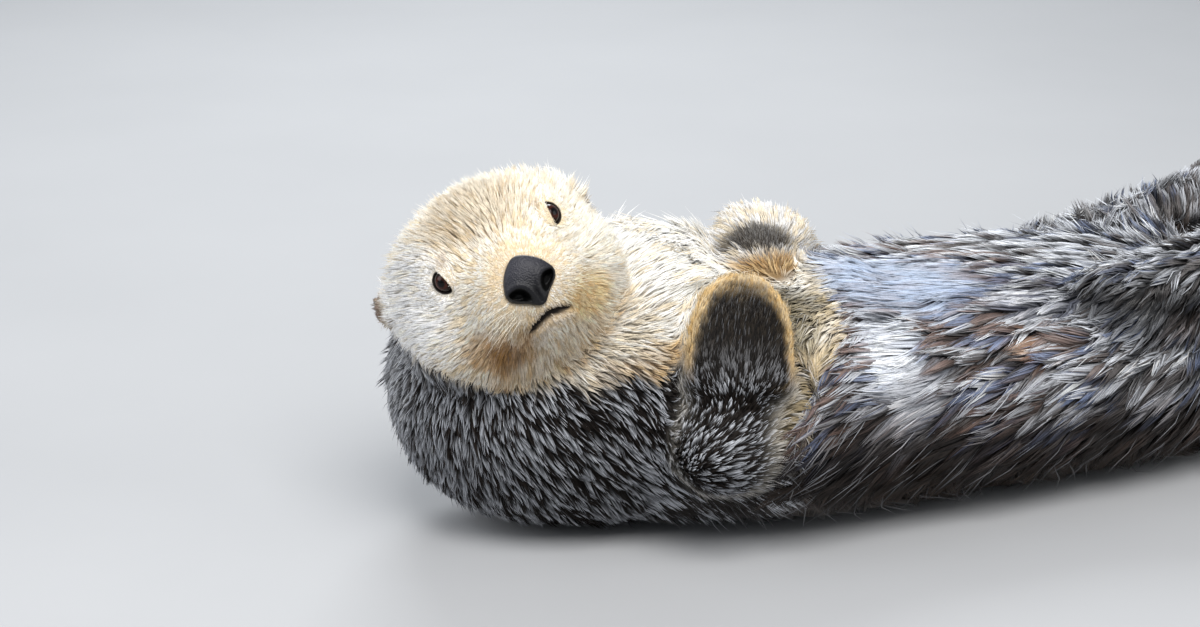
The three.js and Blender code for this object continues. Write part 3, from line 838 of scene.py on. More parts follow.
def wet_sheet(p):
    """Where the belly's wet fur lies smooth, and where a reflection of the sky is painted on it."""
    return np.maximum(blotch(p, (345, -35, 172), (88, 62, 50)), glare(p))


def glare(p):
    """The strip of the wet fur where a white highlight is painted, low behind the fold."""
    return blotch(p, (300, -122, 132), (30, 56, 56))


class Marks:
    """Undercoat, tips, the other colour of some locks, their share, and the share of silver-tipped hairs."""

    def __init__(self, skin, p, q, n):
        kinds = {k: skin.part(k) for k in TINT}
        self.colours = [sum(kinds[k][:, None] * linear(TINT[k][i]) for k in TINT) for i in range(3)]
        self.streak = sum(kinds[k] * TINT[k][3] for k in TINT)
        self.grizzle = np.zeros(len(p))
        self.patch = noise(p, 16, 5)
        self.fine = noise(p, 6, 6)
        self.skin, self.p, self.q, self.n = skin, p, q, n
        self.front()
        self.head()
        self.fold()
        self.body()
        self.near_foreleg()
        self.far_foreleg()
        self.hind_feet()

    def wash(self, share, *colours):
        """Takes the undercoat's, the tips' and the other locks' colour part of the way to others."""
        for number, colour in enumerate(colours):
            if colour is not None:
                self.colours[number] = mix(self.colours[number], linear(colour), share)

    def spots(self, share, points, table):
        """Washes a table's soft spots over the coat."""
        for strength, centre, radii, *colours in table:
            self.wash(strength * share * blotch(points, centre, radii), *colours)

    def front(self):
        """The dark, grizzled nape and shoulder give way to the cream chest."""
        x, y, z = self.p.T
        front = ramp(0.3, 0.8, self.skin.part("neck", "chest", "upper_arm_left", "forearm_left"))
        rough = 16 + 20 * ramp(0, 60, y)
        edge = z + rough * (self.patch - 0.5) + 10 * (self.fine - 0.5) - 12 * ramp(40, 110, x)
        edge -= 60 * (1 - ramp(-60, 10, x))
        pale = front * ramp(134, 146, edge)
        self.wash(pale, CHEST_ROOT, SNOW, IVORY)
        dusky = front - pale
        self.wash(dusky, INK, SOOT, SILVER)
        outer = dusky * (1 - ramp(-50, 10, x))
        self.streak = mix(self.streak, 0.6, outer)
        self.wash(0.3 * outer, None, PEWTER)
        self.grizzle += 0.12 * outer
        # Painted rim light: frost-white tips where the dark skin turns edge-on, towards the head and the far
        # side.
        rim = dusky * ramp(0.66, 0.93, self.n @ (-0.91, 0.41, 0)) * ramp(60, 120, z)
        self.wash(0.7 * rim, None, FROST, FROST)
        fringe = pale * bump(edge - 145, 6) * ramp(20, 90, x)
        self.wash(0.85 * fringe, GOLD_ROOT, GOLD, GOLD)
        # Painted shadow: mossy, darker fur on the chest under the far forearm.
        painted_shadow_under_forearm = pale * blotch(self.p, (140, -62, 196), (20, 16, 18))
        self.wash(0.6 * painted_shadow_under_forearm, MOSS_ROOT, MOSS)

    def head(self):
        """Cream, gold about the muzzle and under the chin, with browner gaps on the forehead."""
        q = self.q
        x, y, z = q.T
        head = ramp(0.35, 0.8, self.skin.part("head"))
        streaks = ramp(0.35, 0.6, noise(q * (1, 0.35, 0.35), 5, 9))
        self.spots(head, q, BROW_AND_CHEEKS)
        above_nose = head * bump(nose_distance(q) - 1.35, 0.3) * ramp(-36, -24, z) * (y < -20)
        self.wash(0.4 * above_nose, None, GOLD, GOLD)
        self.spots(head, q, MUZZLE)
        below = head * blotch(q, (-36, -12, -70), (36, 36, 32))
        self.wash(below * mix(0.2, 0.8, streaks), (150, 112, 68), (204, 166, 112), TAWNY)
        self.spots(head, q, UNDER_LIP)
        lip = head * bump(z - mouth_height(x), 7) * (1 - ramp(14, 26, np.abs(x + 4)))
        self.wash(0.6 * lip, (84, 62, 42), (160, 130, 92), (130, 100, 68))
        # Darker gold under the chin: partly the fur's own colour, partly painted shade where the head meets
        # the chest.
        chin = head * (1 - ramp(-97, -70, z)) * (y < 50)
        self.wash(chin * mix(0.3, 0.8, streaks), (134, 106, 66), (218, 192, 138), TAWNY)
        self.spots(head, q, ABOVE_EYES)

    def fold(self):
        """Gold along the loose fold behind the forelegs, mossy grey before it."""
        p = self.p
        chest = self.skin.part("chest") * ramp(75, 100, p[:, 2])
        ridge = bump(line_distance(p + (7, 0, 0), FOLD), 14)
        before = chest * blotch(p, (214, -84, 150), (48, 66, 62)) * (1 - ridge)
        self.wash(before, MOSS_ROOT, (168, 158, 132), MOSS)
        self.streak = mix(self.streak, 0.4, before)
        deep = chest * blotch(p, (234, -68, 186), (34, 32, 28))
        self.wash(0.7 * deep, (44, 39, 30), (128, 118, 92), (84, 78, 60))
        gold = chest * ridge * ramp(0.15, 0.4, self.patch)
        self.wash(0.8 * gold, MOSS_ROOT, (226, 204, 160), (176, 160, 126))

    def body(self):
        """A silver belly with rusty patches, painted sky reflections and painted highlights, darkening down
        the flanks to the back.
        """
        p = self.p
        body = ramp(0.3, 0.8, self.skin.part("belly", "hips", "thigh", "shank"))
        # Painted reflection of the sky: blue on some locks, in patches.
        painted_sky_patches = noise(p * (0.5, 1, 1), 13, 11)
        self.wash(body * ramp(0.5, 0.65, painted_sky_patches), None, None, (104, 124, 166))
        # Painted reflection of the sky on the smooth wet fur.
        self.wash(0.7 * wet_sheet(p), (80, 84, 102), PAINTED_SKY_BLUE, (196, 210, 230))
        # Painted highlight: a near-white strip of glare on the wet fur.
        self.wash(0.9 * glare(p), (150, 156, 168), (250, 252, 255), SILVER)
        # Painted highlight: white-blue tips on the wet belly before the thigh.
        self.spots(1, p, BELLY_PAINTED_HIGHLIGHT)
        height = p[:, 2] + 34 * (self.patch - 0.5) + 22 * ramp(330, 380, p[:, 0])
        low = body * (1 - ramp(84, 146, height))
        self.wash(0.85 * low, INK, PEWTER, BARK)
        self.wash(0.6 * low * ramp(0.5, 0.75, self.patch), None, RUST)
        self.wash(body * (1 - ramp(56, 116, height)), INK, (48, 41, 38), INK)
        self.spots(1, p, FLANK)
        # Painted shadow: near-black fur along the crease under the near thigh.
        self.wash(0.95 * bump(line_distance(p, CREASE), 21), (9, 7, 7), INK, INK)
        # Darker where the skin faces down: partly the dark back, partly painted shade under the legs and
        # body.
        self.wash(body * ramp(0.0, 0.7, -self.n[:, 2]), INK, BROWN, BROWN)
        self.streak = self.streak + 0.2 * low

    def near_foreleg(self):
        """Dark, grizzled up to the wrist, with a golden rim round the back of the paw."""
        part = self.skin.part
        self.grizzle += 0.05 * part("upper_arm_right", "forearm_right")
        paw = ramp(0.3, 0.7, part("forepaw_right"))
        reach = limb_reach(self.p, FORELEGS["right"])
        back = 0.2 * (self.fine - 0.5) - self.n @ unit(np.array(PAW_SOLE))
        rim = paw * np.maximum(1 - ramp(0.4, 0.74, back), ramp(0.84, 0.98, reach))
        self.wash(rim * ramp(-0.5, -0.1, reach), (130, 104, 72), (224, 200, 156), GOLD)
        self.wash(0.25 * paw * (1 - ramp(-0.35, 0.1, reach)), INK, INK, SILVER)

    def hind_feet(self):
        """The ankles are silver like the shanks, the toes brown, and the webs between them black."""
        for side, joints in HINDLEGS.items():
            _, across, _ = foot_axes(side)
            foot = self.skin.part("hind_foot_" + side)
            reach = limb_reach(self.p, joints)
            spread = (self.p - joints[2]) @ across / (FOOT_HALF * np.clip(reach, 0.4, 1))
            web = 0.5 - 0.5 * np.cos(2 * math.pi * spread / TOE_GAP)
            self.wash(0.9 * foot * web, INK, INK, INK)
            self.wash(0.7 * foot * (1 - web), None, (96, 80, 68), BROWN)
            ankle = foot * (1 - ramp(0.1, 0.5, reach + 0.3 * (self.patch - 0.5)))
            self.wash(ankle, BARK, SILVER, PEWTER)

    def far_foreleg(self):
        """White above, dark in the middle of the paw and golden below it."""
        p = self.p
        paw = ramp(0.3, 0.7, self.skin.part("forepaw_left"))
        self.wash(paw, (176, 166, 152), (240, 240, 240), IVORY)
        # Golden fur below, with darker roots: partly painted shadow between the two paws.
        self.wash(paw * (1 - ramp(-20, -6, p[:, 1])), (98, 74, 46), (210, 180, 132), (172, 136, 90))
        middle = paw * blotch(p + (self.fine[:, None] - 0.5) * 10, FAR_PAW_PATCH, (36, 26, 27))
        self.wash(0.95 * middle, INK, (62, 54, 44), SOOT)


# ---------------------------------------------------------------- tufts

# A tuft is a triangle with a flat underside at its root, another half way, and a point at its tip.
SPIKE_POINTS = 7
SPIKE_FACES = np.array(
    [
        (0, 2, 1), (0, 1, 4), (0, 4, 3), (1, 2, 5), (1, 5, 4),
        (2, 0, 3), (2, 3, 5), (3, 4, 6), (4, 5, 6), (5, 3, 6),
    ]
)
SPIKE_SIZES = (0.8, 1.0)  # the two triangles' widths, as shares of the tuft's
ROOT_DEPTH = 1.2  # how far a tuft's root lies below the skin
MOST_LIFT = math.radians(50)
OVER_FLOOR = (1.2, 0.8)  # the lowest that a tuft's middle and its tip may lie
GUARD_SHARE = 0.07  # the share of guard hairs, where the coat isn't drawn into locks
GUARD_SHAPE = (1.35, 1.6, 0.55)  # a guard hair's length, lift and width, as shares of the tufts' round it
SKIN_SHADING = 0.55  # how far a tuft is shaded as the surface it lies on
LOCK_SIDE_UNDERCOAT_AND_SHADE = 0.95  # how dark the sides of a lock are painted, partly undercoat and partly painted shade between locks, where its tufts draw together fully
CURL = (0.2, 0.25)  # how far drawn-together locks bend to a side: the usual and the most
SWAY = (0.12, 0.1)  # how far locks, and the tufts in them, usually stray from the coat's lie
MIDDLE_RISE = 0.58  # how much of its height a tuft has half way along
LOCK_STRETCH = 0.8  # 0 for round locks, towards 1 for ones drawn out along the lie
CELL = 12  # roots are shared out over cells of this width, one after another
PATCH = 0.003  # the size of a tuft's patch of the unwrap
MARGIN = 0.004  # what is left free round the unwrap
# Where a tuft's seven points lie in its patch of the unwrap: across it, then along it.
PATCH_SPOTS = np.array([(0, 0), (1, 0), (0.5, 0.1), (0, 0.5), (1, 0.5), (0.5, 0.6), (0.5, 1)]) - 0.5


def spread_roots(skin, wanted, count):
    """count places spread evenly over the wanted triangles, by their density: corners, corner shares."""
    tri = skin.triangles[wanted]
    a, b, c = (skin.points[tri[:, k]] for k in range(3))
    area = np.linalg.norm(np.cross(b - a, c - a), axis=1)
    weight = area * skin.density[tri].mean(1)
    middle = (a + b + c) / 3
    cells = np.floor((middle - middle.min(0)) / CELL).astype(np.int64)
    cells[:, 1] = np.where(cells[:, 0] % 2, cells[:, 1].max() - cells[:, 1], cells[:, 1])
    order = np.lexsort((middle[:, 2], cells[:, 2], cells[:, 1], cells[:, 0]))
    total = np.cumsum(weight[order])
    pick = (np.arange(count) + RNG.random(count)) * total[-1] / count
    chosen = order[np.minimum(np.searchsorted(total, pick), len(order) - 1)]
    u, v = np.sqrt(RNG.random(count)), RNG.random(count)
    shares = np.stack([1 - u, u * (1 - v), u * v], 1)
    return tri[chosen], shares


def blended(values, corners, shares):
    """Values on the skin's points, read within its triangles."""
    if values.ndim == 1:
        return (values[corners] * shares).sum(1)
    return (values[corners] * shares[:, :, None]).sum(1)


def locks_of(root, flow, size):
    """The tuft at the middle of each tuft's lock. A lock holds about size tufts and is long along the lie."""
    seeds = RNG.permutation(len(root))[::size]
    tree = KDTree(len(seeds))
    for number, place in enumerate(root[seeds].tolist()):
        tree.insert(place, number)
    tree.balance()
    near = np.array([[f[1] for f in tree.find_n(place, 4)] for place in root.tolist()])
    away = root[seeds[near]] - root[:, None]
    along = dot(away, flow[:, None])
    cost = (away**2).sum(-1) - LOCK_STRETCH * along**2
    return seeds[near[np.arange(len(root)), cost.argmin(1)]]


def comb(skin, start, normal, direction, reach):
    """One step along the skin: the places reached, their normals and the coat's direction there."""
    goal = start + direction * reach[:, None]
    found = [skin.tree.find_nearest(place) for place in goal.tolist()]
    corner = skin.triangles[[f[2] for f in found], 0]
    # Where the nearest skin faces another way, across a crease, the tuft keeps straight on and stays short.
    stray = dot(skin.normals[corner], normal)[:, None] < 0.3
    place = np.where(stray, start + 0.4 * (goal - start), np.array([f[0] for f in found]))
    turned = stray | (dot(skin.coat.flow[corner], direction)[:, None] < 0.2)
    flow = np.where(turned, direction, skin.coat.flow[corner])
    return place, np.where(stray, normal, skin.normals[corner]), flow


class Tufts:
    """One piece of the coat: count closed tufts rooted on the wanted triangles, gathered into locks."""

    def __init__(self, skin, wanted, count, lock_size):
        corners, shares = spread_roots(skin, wanted, count)
        self.read = lambda values: blended(values, corners, shares)
        self.skin, self.count = skin, count
        self.root = self.read(skin.points)
        self.normal = unit(self.read(skin.normals))
        flow = unit(self.read(skin.coat.flow))
        self.lock = locks_of(self.root, flow, lock_size)
        side = np.cross(self.normal, flow)
        off_axis = np.abs(dot(self.root - self.root[self.lock], side))
        self.edge = ramp(0.4, 1.7, off_axis / np.sqrt((off_axis**2).mean()))
        bend = np.clip(RNG.normal(0, CURL[0], count), -CURL[1], CURL[1])
        self.curl = bend[self.lock] * self.read(skin.coat.clump) ** 2
        sway = RNG.normal(0, SWAY[0], count)[self.lock] + RNG.normal(0, SWAY[1], count)
        self.flow = unit(flow + side * sway[:, None])
        self.guard = RNG.random(count) < GUARD_SHARE * (1 - 0.75 * self.read(skin.coat.clump))
        self.grow()

    def grow(self):
        """Lays every tuft along the skin, lifted towards its tip."""
        coat, count = self.skin.coat, self.count
        length = self.read(coat.length) * RNG.uniform(0.75, 1.15, count)
        lift = self.read(coat.lift) * RNG.uniform(0.75, 1.2, count)
        lift = lift * RNG.uniform(0.7, 1.3, count)[self.lock]
        width = self.read(coat.width) * RNG.uniform(0.75, 1.25, count)
        longer, steeper, thinner = (np.where(self.guard, share, 1) for share in GUARD_SHAPE)
        length = length * longer
        lift = np.minimum(lift * steeper, MOST_LIFT)
        self.width = width * thinner
        half = length * np.cos(lift) / 2
        middle, self.normal_1, flow_1 = comb(self.skin, self.root, self.normal, self.flow, half)
        bend = np.cross(self.normal_1, flow_1) * self.curl[:, None]
        onward = unit(unit(flow_1 + self.flow) + bend)
        end, self.normal_2, _ = comb(self.skin, middle, self.normal_1, onward, half)
        rise = length * np.sin(lift)
        middle = middle + self.normal_1 * (rise * MIDDLE_RISE)[:, None]
        end = end + self.normal_2 * rise[:, None]
        self.middle, self.end = self.gathered(middle, end)
        for place, lowest in zip((self.middle, self.end), OVER_FLOOR):
            place[:, 2] = np.maximum(place[:, 2], lowest)

    def gathered(self, middle, end):
        """Draws the tips of each lock together."""
        pull = end[self.lock] - end
        along = dot(pull, self.flow)[:, None] * self.flow
        away = pull - along
        strength = self.read(self.skin.coat.clump) * RNG.uniform(0.75, 1.1, self.count)
        strength *= ramp(0.4, 0.85, dot(self.flow, self.flow[self.lock]))
        share = np.where(self.guard, 0.4 * strength, strength)[:, None]
        return middle + 0.42 * share * away, end + share * (away + 0.3 * along)

    def points(self):
        """Each tuft's seven points."""
        made = []
        rings = (
            (self.root - self.normal * ROOT_DEPTH, self.normal, self.middle - self.root, SPIKE_SIZES[0]),
            (self.middle, self.normal_1, self.end - self.root, SPIKE_SIZES[1]),
        )
        for place, out, forward, size in rings:
            across = unit(np.cross(out, unit(forward)))
            half = (self.width * size / 2)[:, None]
            made.append(place - across * half - out * half * 0.35)
            made.append(place + across * half - out * half * 0.35)
            made.append(place + out * half * 0.75)
        made.append(self.end)
        return np.stack(made, 1)

    def shading(self, points):
        """A normal for each of the seven points, part the tuft's own and part the skin's."""
        rings = np.stack([points[:, :3].mean(1), points[:, 3:6].mean(1)], 1)
        own = unit(points[:, :6] - np.repeat(rings, 3, axis=1))
        tip = unit(self.end - self.middle)[:, None]
        own = np.concatenate([own, tip], 1)
        below = [self.normal] * 3 + [self.normal_1] * 3 + [self.normal_2]
        return unit(mix(own, np.stack(below, 1), SKIN_SHADING))

    def colours(self):
        """Root, middle and tip colours: locks differ from one another, and some hairs have silver tips."""
        coat, count, read = self.skin.coat, self.count, self.read
        root, tip = read(coat.root), read(coat.tip)
        streak, clump, silver = read(coat.streak), read(coat.clump), linear(SILVER)
        odd = (RNG.random(count)[self.lock] < streak) | (RNG.random(count) < 0.3 * streak)
        tip = mix(tip, read(coat.other), 0.85 * odd)
        tip = mix(tip, silver, 0.8 * (RNG.random(count) < read(coat.grizzle)))
        tip = mix(tip, silver, 0.35 * self.guard * clump)
        uneven = 0.15 + 0.5 * clump**3
        shade = (1.1 - uneven * RNG.random(count) ** 2) * RNG.uniform(0.8, 1.1, count)[self.lock]
        # The sides of each lock darken towards the undercoat: partly painted shade between the locks.
        tip = mix(tip, root, LOCK_SIDE_UNDERCOAT_AND_SHADE * self.edge * clump**2)
        tip = np.clip(tip * shade[:, None], 0, 0.93)
        root = np.clip(root * shade[:, None], 0, 0.93)
        middle = mix(root, tip, read(coat.pale))
        return np.stack([root, root, root, middle, middle, middle, tip], 1)

    def piece(self, name, unwrap):
        """The tufts as one object, with their colours, unwrap and shading."""
        points = self.points()
        faces = SPIKE_FACES[None] + SPIKE_POINTS * np.arange(self.count)[:, None, None]
        made = mesh_object(name, points.reshape(-1, 3), faces.reshape(-1, 3))
        colour_points(made, self.colours().reshape(-1, 3))
        store_unwrap(made, unwrap(self.root))
        shaded = made.data.attributes.new("custom_normal", "FLOAT_VECTOR", "POINT")
        shaded.data.foreach_set("vector", self.shading(points).astype(np.float32).ravel())
        made.data.update()
        return made


def store_unwrap(piece, places):
    """The tufts' UV map: each tuft is a small patch at its root's place."""
    inner = MARGIN + places * (1 - 2 * MARGIN)
    spots = inner[:, None, :] + PATCH_SPOTS * PATCH
    layer = piece.data.uv_layers.new(name="OFBake")
    layer.data.foreach_set("uv", spots[:, SPIKE_FACES.ravel(), :].astype(np.float32).ravel())


def from_lowest(values):
    """Values moved and scaled to run from 0 to 1."""
    return (values - values.min()) / np.ptp(values)


def unwrap_round(origin, axis, up, ball=False):
    """An unwrap by the turn about an axis, and the distance along it or, on a ball, the angle from it."""
    axis = unit(np.array(axis, float))
    side = unit(np.cross(axis, up))
    top = np.cross(side, axis)

    def unwrap(points):
        rel = points - origin
        along = rel @ axis
        if ball:
            along = np.arccos(np.clip(along / np.linalg.norm(rel, axis=1), -1, 1))
        turn = np.arctan2(rel @ top, rel @ side)
        return np.stack([from_lowest(turn), from_lowest(along)], 1)

    return unwrap


# ---------------------------------------------------------------- materials

FUR_GRAIN = (0.85, 1.12, 700)
# Each material's roughness, sheen and specular level, then its grain: the range of brightness and the scale.
MATERIALS = {
    "otter_skin": (0.7, 0.0, 0.15, 0.7, 1.1, 900),
    "cream_fur": (0.62, 0.1, 0.25, *FUR_GRAIN),
    "chest_fur": (0.6, 0.1, 0.25, *FUR_GRAIN),
    "silver_fur": (0.36, 0.0, 0.3, *FUR_GRAIN),
    "dark_fur": (0.5, 0.0, 0.1, *FUR_GRAIN),
    "foot_fur": (0.5, 0.0, 0.15, *FUR_GRAIN),
    "ear_fur": (0.6, 0.1, 0.2, *FUR_GRAIN),
    "nose_skin": (0.42, 0.0, 0.27, 0.85, 1.2, 900),
    "eye_surface": (0.1, 0.0, 0.12, 0.8, 1.25, 1500),
    "whisker": (0.4, 0.0, 0.5, 0.8, 1.15, 500),
    "claw": (0.35, 0.0, 0.5, 0.8, 1.15, 500),
}
RELIEF = {"otter_skin": 0.0003, "nose_skin": 0.00025}  # how high the grain stands, metres


def new_material(name, roughness, sheen, specular):
    material = bpy.data.materials.new(name)
    material.use_nodes = True
    shader = material.node_tree.nodes["Principled BSDF"]
    shader.inputs["Roughness"].default_value = roughness
    shader.inputs["Sheen Weight"].default_value = sheen
    shader.inputs["Sheen Roughness"].default_value = 0.4
    shader.inputs["Specular IOR Level"].default_value = specular
    return material, material.node_tree, shader


def textured(tree, kind, scale, **settings):
    """A pattern node that reads the piece's own coordinates, in patches about 1 / scale metres across."""
    coordinates = tree.nodes.new("ShaderNodeTexCoord")
    node = tree.nodes.new(kind)
    node.inputs["Scale"].default_value = scale
    for key, value in settings.items():
        node.inputs[key].default_value = value
    tree.links.new(coordinates.outputs["Object"], node.inputs["Vector"])
    return node


def ranged(tree, source, low, high, from_low=0.0, from_high=1.0):
    """A pattern's values, spread over another range."""
    node = tree.nodes.new("ShaderNodeMapRange")
    node.inputs["From Min"].default_value = from_low
    node.inputs["From Max"].default_value = from_high
    node.inputs["To Min"].default_value = low
    node.inputs["To Max"].default_value = high
    tree.links.new(source, node.inputs["Value"])
    return node.outputs["Result"]


def coat_colour(tree, shader, low, high, scale):
    """Base colour: the piece's markings, varied in brightness by a fine noise."""
    marks = tree.nodes.new("ShaderNodeVertexColor")
    marks.layer_name = "coat"
    grain = textured(tree, "ShaderNodeTexNoise", scale, Detail=3.0)
    value = tree.nodes.new("ShaderNodeHueSaturation")
    tree.links.new(ranged(tree, grain.outputs["Fac"], low, high, 0.3, 0.7), value.inputs["Value"])
    tree.links.new(marks.outputs["Color"], value.inputs["Color"])
    tree.links.new(value.outputs["Color"], shader.inputs["Base Color"])


def relief(tree, shader, height, depth):
    """Fine relief, depth metres high, from a pattern's values."""
    node = tree.nodes.new("ShaderNodeBump")
    node.inputs["Distance"].default_value = depth
    tree.links.new(height, node.inputs["Height"])
    tree.links.new(node.outputs["Normal"], shader.inputs["Normal"])


def coat_material(name):
    """A material that shows the piece's markings: the nose is pebbled as well, and the eyes are wet."""
    *surface, low, high, scale = MATERIALS[name]
    material, tree, shader = new_material(name, *surface)
    coat_colour(tree, shader, low, high, scale)
    if name == "otter_skin":
        grain = textured(tree, "ShaderNodeTexNoise", 900, Detail=4.0)
        relief(tree, shader, grain.outputs["Fac"], RELIEF[name])
    if name == "nose_skin":
        pebbles = textured(tree, "ShaderNodeTexVoronoi", 800)
        relief(tree, shader, ranged(tree, pebbles.outputs["Distance"], 1, 0), RELIEF[name])
    if name == "eye_surface":
        shader.inputs["Coat Weight"].default_value = 0.15
        shader.inputs["Coat Roughness"].default_value = 0.03
    return material


# ---------------------------------------------------------------- the skin and the coat, piece by piece


def add_piece(piece, material, slot, *nodes):
    """Gives a piece its material; slot is not used. Nodes are the CAD's parts that it takes the place of."""
    piece.data.materials.append(material)
    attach(piece, "root")
    if nodes:
        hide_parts(*nodes)


def add_skin(skin):
    mesh = skin.mesh
    mesh.vertices.foreach_set("co", ((skin.points + SHIFT) * MM).astype(np.float32).ravel())
    mesh.update()
    mesh.shade_smooth()
    piece = bpy.data.objects.new("skin", mesh)
    bpy.context.scene.collection.objects.link(piece)
    colours = mix(skin.coat.root, skin.coat.tip, 0.25)
    colour_points(piece, mix(colours, linear(LID), skin.coat.bare_shade))
    add_piece(piece, coat_material("otter_skin"), "cream_fur", *FLESH)


def coat_plans(skin):
    """Each coat piece's name, the triangles it grows on, tufts, tufts to a lock, unwrap and slot."""
    middles = skin.points[skin.triangles].mean(1)
    front = to_face(middles)[:, 1] < 14
    near = middles[:, 1] < 0
    owned = skin.owned
    head, belly = owned("head"), owned("belly")
    ahead, up = (1, 0, 0), (0, 0, 1)
    ball = unwrap_round(from_face((0, 40, -20)), -FACE[:, 1], FACE[:, 2], ball=True)
    nape = unwrap_round((40, 6, 100), up, ahead)
    trunk = unwrap_round((300, 0, 85), ahead, up)
    tail = unwrap_round((700, 0, 20), ahead, up)
    plans = [
        ("face", head & front, 19900, 8, ball, "cream_fur"),
        ("crown", head & ~front, 15000, 10, ball, "cream_fur"),
        ("ears", owned("ear"), 1500, 8, ball, "ear_skin"),
        ("nape", owned("neck"), 19000, 6, nape, "dark_fur"),
        ("chest", owned("chest"), 19800, 10, trunk, "chest_fur"),
        ("belly_near", belly & near, 12000, 26, trunk, "silver_fur"),
        ("belly_far", belly & ~near, 7000, 26, trunk, "silver_fur"),
        ("hips", owned("hips"), 13000, 26, trunk, "silver_fur"),
    ]
    for side, tufts in (("right", 9000), ("left", 6000)):
        leg = owned("thigh_" + side, "shank_" + side)
        ankle, toes = HINDLEGS[side][2:]
        foot = unwrap_round(ankle, np.subtract(toes, ankle), up)
        plans.append(("hindleg_" + side, leg, tufts, 22, trunk, "silver_fur"))
        plans.append(("foot_" + side, owned("hind_foot_" + side), 3000, 8, foot, "foot_fur"))
    for side, tufts in (("right", 10500), ("left", 5700)):
        leg = owned(*(part + side for part in ("upper_arm_", "forearm_", "forepaw_")))
        _, elbow, wrist, tips = FORELEGS[side]
        limb = unwrap_round(wrist, np.subtract(tips, elbow), ahead)
        plans.append(("foreleg_" + side, leg, tufts, 6, limb, "dark_fur"))
    plans.append(("tail", owned("tail"), 5500, 12, tail, "dark_fur"))
    return plans


def add_coat(skin):
    slots = ("cream_fur", "chest_fur", "silver_fur", "dark_fur", "foot_fur", "ear_skin")
    fur = {slot: coat_material(slot.replace("_skin", "_fur")) for slot in slots}
    for name, wanted, count, lock_size, unwrap, slot in coat_plans(skin):
        piece = Tufts(skin, wanted, count, lock_size).piece("coat_" + name, unwrap)
        add_piece(piece, fur[slot], slot)


# ---------------------------------------------------------------- nose, eyes, whiskers, claws


def nostril_pit(x, z):
    """How deep the nose's front is sunk: two slits that climb outward, and the groove between them. Then 1 on
    a slit's edge, less inside it, more outside."""
    outward = np.abs(x) - NOSTRIL_AT[0]
    height = z - NOSTRIL_AT[1]
    rise = math.radians(NOSTRIL_RISE)
    along = outward * math.cos(rise) + height * math.sin(rise)
    across = -outward * math.sin(rise) + height * math.cos(rise) + 0.035 * along**2
    off = np.hypot(along / NOSTRIL_HALF[0], across / NOSTRIL_HALF[1])
    pit = NOSTRIL_DEPTH * (1 - ramp(0.35, 1.1, off))
    wing = -0.8 * bump(off - 1.5, 0.35)
    groove = 1.3 * bump(x, 1.3) * (1 - ramp(-9, -4, z))
    return pit + wing + groove, off


def add_nose():
    """A rounded diamond, domed and pebbled, whose sides run back under the fur."""
    segments = 112
    # Rings of points: their reach, as a share of the outline's radius, and how far behind the front they lie.
    reaches = np.concatenate([np.linspace(0.02, 0.96, 34), (1.0, 1.015, 1.0, 0.96, 0.9)])
    backs = np.concatenate([np.zeros(34), (0.8, 3, 8, 14, 19)])
    turn = np.linspace(0, 2 * math.pi, segments, endpoint=False)
    radius = reaches[:, None] * nose_radius(turn)[None]
    x, z = radius * np.cos(turn), radius * np.sin(turn)
    front = np.minimum(reaches, 1)[:, None]
    pit, off = nostril_pit(x, z)
    dome = 4.5 * front**3 + 0.6 * bump(x, 6) * ramp(2, 14, z)
    y = NOSE_FRONT + dome + backs[:, None] + pit * (front < 0.93)
    rings = np.stack([x + NOSE_AT[0], y, z + NOSE_AT[2]], -1).reshape(-1, 3)
    ends = [(NOSE_AT[0], NOSE_FRONT, NOSE_AT[2]), (NOSE_AT[0], NOSE_FRONT + 24, NOSE_AT[2])]
    points = np.concatenate([rings, ends])
    faces = tube_faces(len(reaches), segments, len(rings), len(rings) + 1)
    piece = mesh_object("nose_pad", from_face(points), faces)
    # Slate, lighter and bluer towards the top: a painted sheen on the nose's upper part.
    slate_with_painted_sheen = mix(linear((14, 14, 17)), linear((38, 38, 46)), ramp(-8, 16, points[:, 2] - NOSE_AT[2]))
    # Near black in and round the nostrils: painted shade in their hollows.
    dark = np.append(1 - ramp(0.9, 1.3, off.ravel()), (0, 0))
    colour_points(piece, mix(slate_with_painted_sheen, linear((3, 3, 3)), dark))
    add_piece(piece, coat_material("nose_skin"), "nose_skin", "nose")


def eye_colours(angle, turn):
    """Pupil, red-brown iris with fibres, and dark ring, by the angle from where the eye looks."""
    off = np.degrees(np.broadcast_to(angle[:, None], (len(angle), len(turn))).ravel())
    fibres = 0.75 + 0.5 * noise(np.stack([np.cos(turn), np.sin(turn), turn * 0], -1) * 9, 1, 4)
    iris = mix(linear((62, 28, 18)), linear((28, 13, 9)), ramp(22, 42, off))
    iris = iris * np.tile(fibres, len(angle))[:, None]
    colours = mix(linear((5, 4, 4)), iris, ramp(13, 27, off))
    return mix(colours, linear((18, 13, 11)), ramp(42, 47, off))


def add_eye(side, material):
    """A smooth ball with a slightly bulging cornea."""
    rings, segments = 40, 56
    middle, out, tall, _ = eye_axes(side)
    gaze = unit(out + (0, -0.35, 0))
    across = unit(np.cross(gaze, tall))
    upward = np.cross(across, gaze)
    angle = np.linspace(0.01, math.pi - 0.01, rings)
    turn = np.linspace(0, -2 * math.pi, segments, endpoint=False)
    around = np.cos(turn)[:, None] * across + np.sin(turn)[:, None] * upward
    ball = np.cos(angle)[:, None, None] * gaze + np.sin(angle)[:, None, None] * around
    radius = EYE_RADIUS - 0.3 + 0.5 * bump(angle, 0.55)
    points = (middle + radius[:, None, None] * ball).reshape(-1, 3)
    name = "left" if side > 0 else "right"
    piece = mesh_object("eyeball_" + name, from_face(points), tube_faces(rings, segments))
    colour_points(piece, eye_colours(angle, turn))
    add_piece(piece, material, "eye_surface", "eye_" + name)


